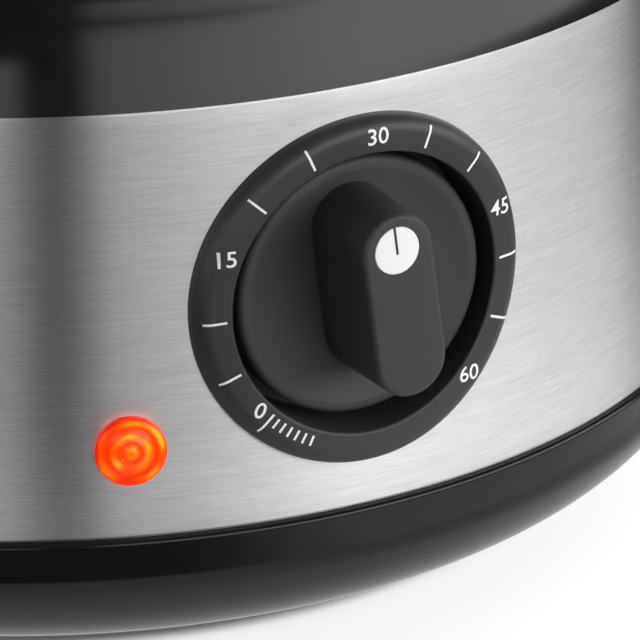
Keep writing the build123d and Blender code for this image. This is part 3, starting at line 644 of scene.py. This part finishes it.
def scale_ring():
    bm = lathe([
        (RING_R, 0.03, 0), (RING_R, RING_TOP, 2.1), (CUP_R, RING_TOP, 0.45),
        (CUP_R, -CUP_DEPTH, 0.3), (4.2, -CUP_DEPTH, 0), (4.2, -CUP_DEPTH - CUP_FLOOR, 0),
        (21.4, -CUP_DEPTH - CUP_FLOOR, 0), (21.4, -4, 0), (21.4, 0.03, 0),
    ], steps=256)
    bend_over_drum(bm)
    surface = BVHTree.FromBMesh(bm)
    ring = mesh_of("scale_ring", moved(bm, ON_DIAL))
    settle(ring, SATIN, "base", ["dial_ring"])
    return surface


RING_SURFACE = scale_ring()

# %% [markdown]
# ## The printed scale
# Ticks and numbers are pad-printed on the ring, a few hundredths of a millimetre thick. They are
# real geometry here, so they show in every view. Each mark is drawn flat, cut into a fine grid so
# that it can bend, dropped onto the ring by casting rays, and given a little thickness. The
# angles are measured clockwise from the top, as on a clock.

# %% Print ticks and numbers
TICK_ANGLES = (224.3, 246, 267.8, 312.6, 336.3, 23.2, 47, 89.3, 112.1)
FINE_ANGLES = [221.3 - 3.22 * i for i in range(6)]
NUMBERS = (("0", 229.5, 21.8, -24), ("15", 291.5, 22.45, 0), ("30", 2.5, 22.5, 0),
           ("45", 69.9, 22.4, 0), ("60", 134.3, 21.95, 0))
TICK_SPAN = (21.0, 24.15)
FINE_SPAN = (21.1, 22.6)
TICK_W = 0.34
FIGURE_H = 2.28
FIGURE_STRETCH = 1.06
PRINT_LIFT = 0.035


def clock_place(angle, radius, tilt=0.0):
    """A matrix that puts a mark at a clock angle and radius, itself turned by a tilt."""
    turn = math.radians(angle)
    shift = Vector((math.sin(turn), math.cos(turn), 0)) * radius * MM
    return Matrix.Translation(shift) @ Matrix.Rotation(math.radians(tilt), 4, "Z")


def tick(angle, span):
    low, high = span
    bm = bmesh.new()
    bmesh.ops.create_grid(bm, x_segments=1, y_segments=10, size=0.5 * MM)
    bmesh.ops.scale(bm, vec=(TICK_W, high - low, 1), verts=bm.verts)
    return moved(bm, clock_place(angle, (low + high) / 2, -angle))


def number(text, angle, radius, tilt):
    """A number as a flat mesh, scaled so that its figures have a true height."""
    curve = bpy.data.curves.new("figure", "FONT")
    curve.body = text
    curve.align_x = "CENTER"
    curve.align_y = "CENTER"
    curve.resolution_u = 6
    curve.offset = 0.008
    holder = bpy.data.objects.new("figure", curve)
    flat = bpy.data.meshes.new_from_object(holder)
    bm = bmesh.new()
    bm.from_mesh(flat)
    bpy.data.objects.remove(holder)
    bpy.data.meshes.remove(flat)
    xs = [v.co.x for v in bm.verts]
    ys = [v.co.y for v in bm.verts]
    middle = Vector(((max(xs) + min(xs)) / 2, (max(ys) + min(ys)) / 2, 0))
    size = FIGURE_H * MM / (max(ys) - min(ys))
    bmesh.ops.translate(bm, vec=-middle, verts=bm.verts)
    bmesh.ops.scale(bm, vec=(size * FIGURE_STRETCH, size, 1), verts=bm.verts)
    for axis in (Vector((1, 0, 0)), Vector((0, 1, 0))):
        for step in range(-6, 7):
            bmesh.ops.bisect_plane(bm, geom=bm.verts[:] + bm.edges[:] + bm.faces[:],
                                   plane_co=axis * step * 0.3 * MM, plane_no=axis)
    return moved(bm, clock_place(angle, radius, tilt))


def scale_print():
    marks = [tick(angle, TICK_SPAN) for angle in TICK_ANGLES]
    marks += [tick(angle, FINE_SPAN) for angle in FINE_ANGLES]
    marks += [number(*entry) for entry in NUMBERS]
    whole = bmesh.new()
    for mark in marks:
        mesh = bpy.data.meshes.new("mark")
        mark.to_mesh(mesh)
        mark.free()
        whole.from_mesh(mesh)
        bpy.data.meshes.remove(mesh)
    bmesh.ops.recalc_face_normals(whole, faces=whole.faces)
    for vert in whole.verts:
        hit = RING_SURFACE.ray_cast(Vector((vert.co.x, vert.co.y, 0.2)), Vector((0, 0, -1)))[0]
        vert.co.z = hit.z + PRINT_LIFT * MM
    under = bmesh.ops.extrude_face_region(whole, geom=whole.faces[:])["geom"]
    bmesh.ops.translate(whole, vec=(0, 0, -2.5 * PRINT_LIFT * MM), verts=corners_of(under))
    bmesh.ops.recalc_face_normals(whole, faces=whole.faces)
    piece = mesh_of("scale_print", moved(whole, ON_DIAL))
    return settle(piece, PRINT, "base", [])


scale_print()

# %% [markdown]
# ## The knob
# The knob is a dished disc, sunk a little into the ring, with a straight bar across it to turn
# it by. The disc is spun. The bar starts as a circle whose halves are pulled apart into a
# racetrack, which is then raised and drawn in a little, as every moulded wall is so that it
# leaves its mould, and its front edge is bevelled. A Boolean joins the two for good.

# %% Shape the knob
BAR_W = 10.6
BAR_UP = 14.9
BAR_DOWN = 11.9
BAR_Z = BAND_R + 12.2
BAR_ROOT = 95.4
BAR_BEVEL = 0.75
KNOB_R = 18.5
KNOB_BACK = 94.6
DISH_EDGE = (16.2, 98.98)
DISH_ROOT = (5.0, 97.75)
DOT_R = 3.35
DOT_UP = 9.9
DOT_SIDE = -0.2
MARK_PAST = 0.6
DRAFT = 0.42


def racetrack(half, ups, downs, z):
    """A closed ring of vertices round a bar, with round ends of a given half width."""
    bm = bmesh.new()
    bmesh.ops.create_circle(bm, cap_ends=True, segments=72, radius=half * MM)
    bmesh.ops.rotate(bm, matrix=Matrix.Rotation(math.radians(2.5), 3, "Z"), verts=bm.verts)
    for vert in bm.verts:
        vert.co.y += ((ups - half) if vert.co.y > 0 else -(downs - half)) * MM
    bmesh.ops.translate(bm, vec=(0, 0, z * MM), verts=bm.verts)
    return bm


def grip_bar():
    half = BAR_W / 2 + DRAFT
    bm = racetrack(half, BAR_UP + DRAFT, BAR_DOWN + DRAFT, BAR_ROOT)
    top = corners_of(bmesh.ops.extrude_face_region(bm, geom=bm.faces[:])["geom"])
    bmesh.ops.translate(bm, vec=(0, 0, (BAR_Z - BAR_ROOT) * MM), verts=top)
    for vert in top:
        end = (BAR_UP + DRAFT - half) if vert.co.y > 0 else -(BAR_DOWN + DRAFT - half)
        vert.co.x *= (half - DRAFT) / half
        vert.co.y = end * MM + (vert.co.y - end * MM) * (half - DRAFT) / half
    edge = [e for e in bm.edges if all(v in top for v in e.verts)]
    bmesh.ops.bevel(bm, geom=edge, offset=BAR_BEVEL * MM, segments=5, profile=0.5,
                    affect="EDGES", material=-1)
    bmesh.ops.recalc_face_normals(bm, faces=bm.faces)
    return mesh_of("grip_bar", bm)


def knob():
    dish = bow(DISH_EDGE, DISH_ROOT, -0.35, 14)
    bm = lathe([
        (0, KNOB_BACK, 0), (KNOB_R, KNOB_BACK, 0.3), (KNOB_R, 99.1, 1.0), (16.9, 99.15, 0.8),
        *dish, (0, 97.7, 0),
    ], steps=192)
    body = combine(mesh_of("timer_knob", bm), [grip_bar()], "UNION")
    combine(body, [rod(DOT_R + 0.06, BAR_Z - 1, BAR_Z + 1, at=(DOT_SIDE, DOT_UP)),
                   rod(3.0, 94, 106)])
    body.data.transform(ON_KNOB)
    return settle(body, GRAINED, "dial", ["knob"])


def pointer_spot():
    """The white spot near the bar's end, with the dark pointer line cut into it."""
    bm = lathe([(0, BAR_Z - 1, 0), (DOT_R, BAR_Z - 1, 0), (DOT_R, BAR_Z + 0.06, 0.12),
                (0, BAR_Z + 0.06, 0)], steps=96)
    bmesh.ops.translate(bm, vec=(DOT_SIDE * MM, DOT_UP * MM, 0), verts=bm.verts)
    middle = DOT_UP + (DOT_R - MARK_PAST) / 2
    slot = bmesh.new()
    bmesh.ops.create_cube(slot, size=MM)
    bmesh.ops.scale(slot, vec=(0.40, DOT_R + MARK_PAST + 0.2, 0.5), verts=slot.verts)
    bmesh.ops.translate(slot, vec=Vector((DOT_SIDE, middle + 0.1, BAR_Z + 0.05)) * MM,
                        verts=slot.verts)
    spot = combine(mesh_of("pointer_spot", bm), [mesh_of("cutter", slot)])
    spot.data.transform(ON_KNOB)
    settle(spot, PRINT, "dial", ["pointer_dot"])
    line = bmesh.new()
    bmesh.ops.create_cube(line, size=MM)
    bmesh.ops.scale(line, vec=(0.38, DOT_R + MARK_PAST - 0.05, 0.16), verts=line.verts)
    bmesh.ops.translate(line, vec=Vector((DOT_SIDE, middle, BAR_Z - 0.10)) * MM,
                        verts=line.verts)
    inlay = mesh_of("pointer_line", moved(line, ON_KNOB))
    settle(inlay, GRAINED, "dial", [])


knob()
pointer_spot()

# %% [markdown]
# ## The pilot lamp
# The lamp's cap is a small orange dome moulded in steps, like a target, on a hollow neck that
# pokes through the steel. The steps are what break the glow into rings. The neon lamp inside
# stays the CAD's own piece with a glowing finish.

# %% Turn the lamp's cap
def lamp_cap():
    face = BAND_R + 0.03
    steps = [(4.45, 1.25), (3.75, 1.25), (3.55, 0.95), (2.75, 1.3), (2.5, 1.02), (1.6, 1.42),
             (1.35, 1.15)]
    corners = [(0, face - 1, 0), (3.2, face - 1, 0), (3.2, face - 8, 0), (4.2, face - 8, 0),
               (4.2, face, 0), (4.95, face, 0.0), (4.95, face + 1.0, 0.45)]
    corners += [(r, face + h, 0.08) for r, h in steps]
    corners += [(0.5, face + 1.5, 0.2), (0, face + 1.5, 0)]
    bm = lathe(corners, steps=96)
    piece = mesh_of("lamp_cap", moved(bm, ON_LAMP))
    return settle(piece, LIT_CAP, "base", ["indicator_lens"], crisp=25)


lamp_cap()

# %% [markdown]
# ## The dish, the tray and its finger loops
# Under the lid lies the steel dish that boils the water. The egg tray stands on its flange: a
# raised plate with seven holes, each with a soft rolled rim so that no egg cracks on it. The
# loops that lift it are a round bar, bent twice: a circle is pulled straight, spun a quarter
# turn round each bend, and pulled on, as a pipe bender would do it.

# %% Press the dish
def water_dish():
    low, high = dish_low.z / MM, dish_high.z / MM
    bm = lathe([
        (0, low, 0), (75, low, 5.8), (75, high - 0.8, 0.6), (89.2, high - 0.8, 0),
        (89.2, high, 0.3), (74.2, high, 1.2), (74.2, low + 0.8, 5.0), (60, low + 0.8, 0.4),
        (59.2, low + 1.3, 0.4), (0, low + 1.3, 0),
    ])
    return settle(mesh_of("pressed_dish", bm), DISH_STEEL, "base", ["water_dish"])


water_dish()

# %% Mould the egg tray
EGG_R = 17.0
EGG_PLACES = [Matrix.Identity(4)]
EGG_PLACES += [Matrix.Rotation(math.radians(a), 4, "Z") @ Matrix.Translation((48 * MM, 0, 0))
               for a in range(30, 390, 60)]
PLATE_TOP = 113.5


def egg_tray():
    foot = tray_low.z / MM
    bm = lathe([
        (0, 112, 0), (71.5, 112, 1.5), (71.5, foot, 0), (80.5, foot, 0.4),
        (80.5, foot + 1.5, 0.5), (73, foot + 1.5, 0.8), (73, PLATE_TOP, 2.5), (0, PLATE_TOP, 0),
    ], steps=144)
    tray = mesh_of("egg_plate", bm)
    rims = []
    for place in EGG_PLACES:
        rim = lathe([(EGG_R - 0.6, 112.3, 0), (EGG_R + 1.6, 112.3, 0),
                     (EGG_R + 1.6, PLATE_TOP + 0.8, 0.7), (EGG_R - 0.6, PLATE_TOP + 0.8, 0)], 72)
        rims.append(mesh_of("rim", moved(rim, place)))
    combine(tray, rims, "UNION")
    holes = [rod(EGG_R, 105, 120, place, 72) for place in EGG_PLACES]
    vents = [rod(2.0, 105, 120, Matrix.Rotation(math.radians(a), 4, "Z"), 32, at=(30, 0))
             for a in range(0, 360, 60)]
    combine(tray, holes + vents)
    return settle(tray, GRAINED, "tray", ["egg_tray"])


egg_tray()


# %% Bend the finger loops
LOOP_X = 67.0
LOOP_BAR_R = 2.8
LOOP_LEG = 13.0
LOOP_HALF = 9.0
LOOP_BEND = 7.0


def pull(bm, loop, way):
    """Extrudes a loop of edges straight on and returns the new end loop."""
    made = bmesh.ops.extrude_edge_only(bm, edges=loop)["geom"]
    fresh = corners_of(made)
    bmesh.ops.translate(bm, vec=Vector(way) * MM, verts=fresh)
    edges = [e for e in made if isinstance(e, bmesh.types.BMEdge)]
    return [e for e in edges if set(e.verts) <= set(fresh)]


def bend(bm, loop, centre, angle):
    """Spins a loop of edges a part turn about a line along X and returns the new end loop."""
    made = bmesh.ops.spin(bm, geom=loop, cent=Vector(centre) * MM, axis=(1, 0, 0),
                          angle=math.radians(angle), steps=10)["geom_last"]
    return [e for e in made if isinstance(e, bmesh.types.BMEdge)]


def finger_loops():
    whole = bmesh.new()
    for x in (-LOOP_X, LOOP_X):
        ring = bmesh.ops.create_circle(whole, segments=28, radius=LOOP_BAR_R * MM)["verts"]
        start = Vector((x, -LOOP_HALF - LOOP_BEND, PLATE_TOP)) * MM
        bmesh.ops.translate(whole, vec=start, verts=ring)
        loop = list({e for v in ring for e in v.link_edges})
        loop = pull(whole, loop, (0, 0, LOOP_LEG))
        loop = bend(whole, loop, (x, -LOOP_HALF, PLATE_TOP + LOOP_LEG), -90)
        loop = pull(whole, loop, (0, 2 * LOOP_HALF, 0))
        loop = bend(whole, loop, (x, LOOP_HALF, PLATE_TOP + LOOP_LEG), -90)
        pull(whole, loop, (0, 0, -LOOP_LEG))
    bmesh.ops.remove_doubles(whole, verts=whole.verts, dist=1e-6)
    bmesh.ops.holes_fill(whole, edges=[e for e in whole.edges if e.is_boundary], sides=40)
    bmesh.ops.recalc_face_normals(whole, faces=whole.faces)
    piece = mesh_of("finger_loops", whole)
    return settle(piece, GRAINED, "tray", ["tray_grips"])


finger_loops()

# %% [markdown]
# ## The lid and its handle
# The lid is one clear moulding: a nearly upright wall, a rounded shoulder and a low dome, two
# millimetres thick all over, so the outline runs up the outside and back down the inside. Three
# small holes let the steam out. Its handle is turned like a drawer knob, with a waist for the
# fingers.

# %% Mould the lid
SHOULDER_OUT = (75.8, 153.6)
SHOULDER_IN = (73.9, 151.9)


def clear_lid():
    low = lid_low.z / MM
    outside = bow((85.1, 141), SHOULDER_OUT, 2.32, 10)
    dome = bow(SHOULDER_OUT, (13.4, 167.6), 2.49, 26)[1:]
    under = bow((2.3, 166), SHOULDER_IN, -3.3, 26)
    inside = bow(SHOULDER_IN, (83.1, 140.6), -2.0, 10)[1:]
    bm = lathe([
        (85.0, low, 0.3), (88.3, low, 0.4), (88.3, low + 2.6, 0.7), (86.6, low + 2.6, 0.3),
        *outside, *dome, (13.0, 168.6, 0.3), (2.3, 168.6, 0), *under, *inside,
    ], steps=192)
    vents = [rod(2.0, 150, 175, Matrix.Rotation(math.radians(a), 4, "Z"), 32, at=(36, 0))
             for a in (30, 150, 270)]
    lid = combine(mesh_of("clear_dome", bm), vents)
    return settle(lid, CLEAR, "lid", ["lid_dome"])


def lid_handle():
    base = head_low.z / MM
    top = head_high.z / MM
    waist = bow((10.9, base + 0.8), (10.5, base + 10), -3.1, 16)
    crown = bow((18.0, base + 18.4), (0.0, top), 1.2, 16)
    bm = lathe([
        (0, base, 0), (11, base, 0.3), *waist, (15.5, base + 11.6, 3), (19.3, base + 14.6, 1.5),
        (19.3, base + 17.0, 1.5), *crown,
    ], steps=128)
    return settle(mesh_of("lid_handle", bm), POLISHED, "lid", ["lid_knob"])


clear_lid()
lid_handle()

# %% [markdown]
# ## The empty gland at the rear
# A supply lead would enter through a rubber gland in the back of the drum. Only the gland is
# part of this object. It has a flange against the steel and a ribbed, tapered nose, with its
# bore open right through.

# %% Turn the gland
GLAND_BORE_R = 3.75
GLAND_TIP = BAND_R + 12.15
RIB_GAP = 2.2
RIB_TAPER = 0.4


def rear_gland():
    face = BAND_R + 0.03
    nose = []
    for i in range(4):
        z = face + 3.0 + RIB_GAP * i
        rib = 7.1 - RIB_TAPER * i
        nose += [(rib, z, 0.3), (rib, z + 1.3, 0.3), (rib - 1, z + 1.4, 0.1),
                 (rib - 1, z + 2.1, 0.1)]
    bm = lathe([
        (GLAND_BORE_R, face - 6, 0.2), (7.4, face - 6, 0.4), (7.4, face - 3, 0.3),
        (6.0, face - 3, 0), (6.0, face, 0), (8.8, face, 0.2), (8.8, face + 2.2, 0.8), *nose,
        (5.2, GLAND_TIP, 0.3), (GLAND_BORE_R, GLAND_TIP, 0.3),
    ], steps=96)
    piece = mesh_of("rear_gland", moved(bm, ON_INLET))
    return settle(piece, RUBBER, "base", ["cord_inlet"])


rear_gland()

# %% [markdown]
# ## Finishes for the CAD pieces that stay
# The works inside and the small fasteners keep their CAD shapes. Each one still gets the finish
# its real counterpart has, so that the cooker also looks right with its lid lifted or taken
# apart.

# %% Give every CAD piece its finish
CAD_FINISHES = {
    "zinc": ZINC, "spring_steel": SPRING_STEEL, "brass": BRASS, "cast_aluminium": CAST,
    "element_sheath": SHEATH, "silicone": SILICONE, "brown_plastic": PHENOLIC,
    "fuse_sleeve": SLEEVE, "lamp_shell": NYLON, "wire_jacket": JACKET, "lamp_glow": NEON,
    "black_textured": GRAINED, "black_gloss": POLISHED, "black_satin": SATIN, "rubber": RUBBER,
    "white_print": PRINT, "brushed_steel": BRUSHED_STEEL, "dish_steel": DISH_STEEL,
    "lens_orange": LIT_CAP, "clear_lid": CLEAR,
}
for part in frame["record"]["subparts"]:
    node = frame["nodes"][part["node"]]
    node.data.materials.clear()
    node.data.materials.append(CAD_FINISHES[part["material_slot"]])

# %% [markdown]
# ## The table and the light
# The cooker stands on a plain pale table that glows a little by itself, as one lit from below
# does. Under the cooker the glow is painted dark: a painted shadow where the table lies in the
# cooker's shade. The table shows to the camera and in reflections but does not light the cooker,
# or the dark sides of the knob would turn grey.

# %% Lay the table
TABLE_GLOW = 0.70
PAINTED_SHADOW_R = (0.0770, 0.0815)


def table():
    pale = Finish("pale_table", Roughness=0.6)
    tone = pale.noise(120, detail=2.0)
    pale.set("Base Color", pale.blend(tone, (0.80, 0.80, 0.80), (0.84, 0.84, 0.84)))
    # Painted shadow: between these radii under the cooker, the table's glow colour fades to
    # nearly black.
    beyond_painted_shadow = pale.fade(pale.reach(), *PAINTED_SHADOW_R)
    pale.set("Emission Color", pale.blend(beyond_painted_shadow, (0.03, 0.03, 0.03), (1.0, 1.0, 1.0)))
    pale.set("Emission Strength", TABLE_GLOW)
    bm = bmesh.new()
    bmesh.ops.create_grid(bm, x_segments=8, y_segments=8, size=4.0)
    floor = mesh_of("table", bm)
    floor.data.materials.append(pale.material)
    floor.visible_diffuse = False


table()

# %% [markdown]
# A photographer lays card round a shiny object to choose what it mirrors. This one is grey close
# to the cooker. Farther out it is black on the left and white on the right, with a smooth change
# between them, and it darkens again beyond the white. Only reflections see it: the camera and
# the light pass through it as if it were not there.

# %% Lay the card
CARD_BLACK = (0.01, 0.01, 0.01)
CARD_HOLE_R = 82.0
CARD_REACH = 24.0


def grey_card():
    grey = Finish("grey_card", Roughness=0.9, Specular_IOR_Level=0.0, Emission_Strength=1.0)
    grey.set("Base Color", (0.0, 0.0, 0.0, 1.0))
    across = grey.split(grey.place())[0]
    out = grey.reach()
    to_right = grey.fade(across, -0.032, 0.028)
    near = grey.blend(to_right, (0.60, 0.60, 0.60), (0.62, 0.62, 0.62))
    far = grey.blend(to_right, CARD_BLACK, (0.9, 0.9, 0.9))
    close = grey.blend(grey.fade(out, 0.124, 0.131), near, far)
    away = grey.fade(out, 0.155, 0.20, top=0.95)
    grey.set("Emission Color", grey.blend(away, close, CARD_BLACK))
    bm = bmesh.new()
    bmesh.ops.create_circle(bm, segments=96, radius=CARD_HOLE_R * MM)
    outer = corners_of(bmesh.ops.extrude_edge_only(bm, edges=bm.edges[:])["geom"])
    bmesh.ops.scale(bm, vec=(CARD_REACH, CARD_REACH, 1), verts=outer)
    bmesh.ops.translate(bm, vec=(0, 0, 0.4 * MM), verts=bm.verts)
    card = mesh_of("grey_card", bm)
    card.data.materials.append(grey.material)
    card.visible_camera = False
    card.visible_diffuse = False
    card.visible_shadow = False
    card.visible_transmission = False


grey_card()

# %% [markdown]
# ## The soft boxes
# Steel and polished plastic show nothing but what they reflect, so they are lit by a ring of
# large soft boxes around the table. A soft box is drawn in the world itself, as a window in
# azimuth and height with soft edges: that gives no noise and no hard corners. What matters most
# is the narrow dark gap between two of them in front, because it makes the one dark upright
# stripe on the steel. The left boxes show mostly in reflections and light little else, so the
# knob's bar keeps a dark side.

# %% Hang the soft boxes
RIGHT_BOX = 3.7
RIGHT_EXTRA = 0.6
LEFT_BOX = 1.9
REAR_RIGHT_BOX = 2.0
REAR_LEFT_BOX = 1.6
CEILING = 0.12
HAZE = 0.02
BACKDROP = 0.93


class Room(Finish):
    """The world's own nodes, with the direction that a ray leaves in as two angles."""

    def __init__(self):
        world = bpy.data.worlds.new("studio")
        bpy.context.scene.world = world
        world.use_nodes = True
        self.tree = world.node_tree
        self.shader = self.tree.nodes["Background"]
        x, y, z = self.split(self.node("TexCoord", output=0))
        self.azimuth = x.math("ARCTAN2", y * -1.0) * (180 / math.pi)
        self.height = z.math("ARCSINE") * (180 / math.pi)

    def between(self, angle, low, high, soft):
        """A window that is 1 between two angles and fades out over a soft edge."""
        rise = self.fade(angle, low - soft, low + soft)
        fall = self.fade(angle, high - soft, high + soft)
        return rise * (1 - fall)

    def tone(self, places):
        """A brightness that changes evenly with the azimuth, from (degrees, value) pairs."""
        stops = [((angle + 180) / 360, (value, value, value)) for angle, value in places]
        return self.node("ValToRGB", {"stops": stops}, Fac=(self.azimuth + 180) * (1 / 360))


def studio():
    room = Room()
    right = room.between(room.azimuth, -17.5, 86, 3.2) * room.between(room.height, -8, 27, 4)
    left = room.between(room.azimuth, -98, -28.5, 1.8) * room.between(room.height, -8, 18, 3)
    rear_right = room.between(room.azimuth, 104, 176, 5) * room.between(room.height, -8, 30, 4)
    rear_left = room.between(room.azimuth, -172, -112, 5) * room.between(room.height, -8, 30, 4)
    slope = room.tone([(-20, 0.46), (0, 0.70), (28, 1.0), (55, 0.86), (88, 0.6)])
    ceiling = room.between(room.height, 40, 100, 20) * CEILING
    path = room.tree.nodes.new("ShaderNodeLightPath")
    shine = Wire(room.tree, path.outputs["Is Glossy Ray"])
    seen = shine * 0.9 + 0.1
    light = slope * right * (RIGHT_BOX + (1 - shine) * RIGHT_EXTRA) + left * seen * LEFT_BOX
    light = light + rear_right * REAR_RIGHT_BOX + rear_left * seen * REAR_LEFT_BOX
    light = light + ceiling + HAZE
    below = room.between(room.height, -91, -9, 1) * (1 - shine)
    light = light + below * (room.between(room.azimuth, 10, 160, 20) * 0.6 + 0.06)
    backdrop = Wire(room.tree, path.outputs["Is Camera Ray"])
    strength = light * (1 - backdrop) + backdrop * BACKDROP
    plug(room.tree, room.shader.inputs["Strength"], strength)
    room.shader.inputs["Color"].default_value = (1.0, 1.0, 1.0, 1.0)


studio()

# %% [markdown]
# One very large soft light overhead lifts the tops of things a little and evens out the table.
# It is switched off for reflections, so the black plastic above the steel stays black.

# %% Hang the light over the table
def overhead(power):
    data = bpy.data.lights.new("overhead", "AREA")
    data.shape = "DISK"
    data.size = 2.4
    data.energy = power
    light = bpy.data.objects.new("overhead", data)
    light.location = (0.2, 0.1, 1.7)
    light.visible_camera = False
    light.visible_glossy = False
    bpy.context.scene.collection.objects.link(light)


overhead(3)
bpy.context.scene.view_settings.view_transform = "Standard"

# %% [markdown]
# ## The camera
# The camera looks at the dial from its left and a little above, from most of a metre away
# through a very long lens, so the drum fills the picture and its edges hardly converge.

# %% Place the camera
def camera():
    azimuth = math.radians(-28.41)
    elevation = math.radians(22.51)
    roll = math.radians(-0.47)
    reach = 0.850
    target = Vector((-6.6 * MM, -BAND_R * MM, (DIAL_Z - 3.5) * MM))
    back = Vector((math.sin(azimuth) * math.cos(elevation),
                   -math.cos(azimuth) * math.cos(elevation), math.sin(elevation)))
    data = bpy.data.cameras.new("camera")
    data.sensor_width = 36
    data.lens = 354.7
    eye = bpy.data.objects.new("camera", data)
    eye.location = target + back * reach
    turn = back.to_track_quat("Z", "Y").to_matrix() @ Matrix.Rotation(roll, 3, "Z")
    eye.rotation_euler = turn.to_euler()
    bpy.context.scene.collection.objects.link(eye)
    bpy.context.scene.camera = eye
    print("camera at", tuple(round(c, 3) for c in eye.location))


camera()
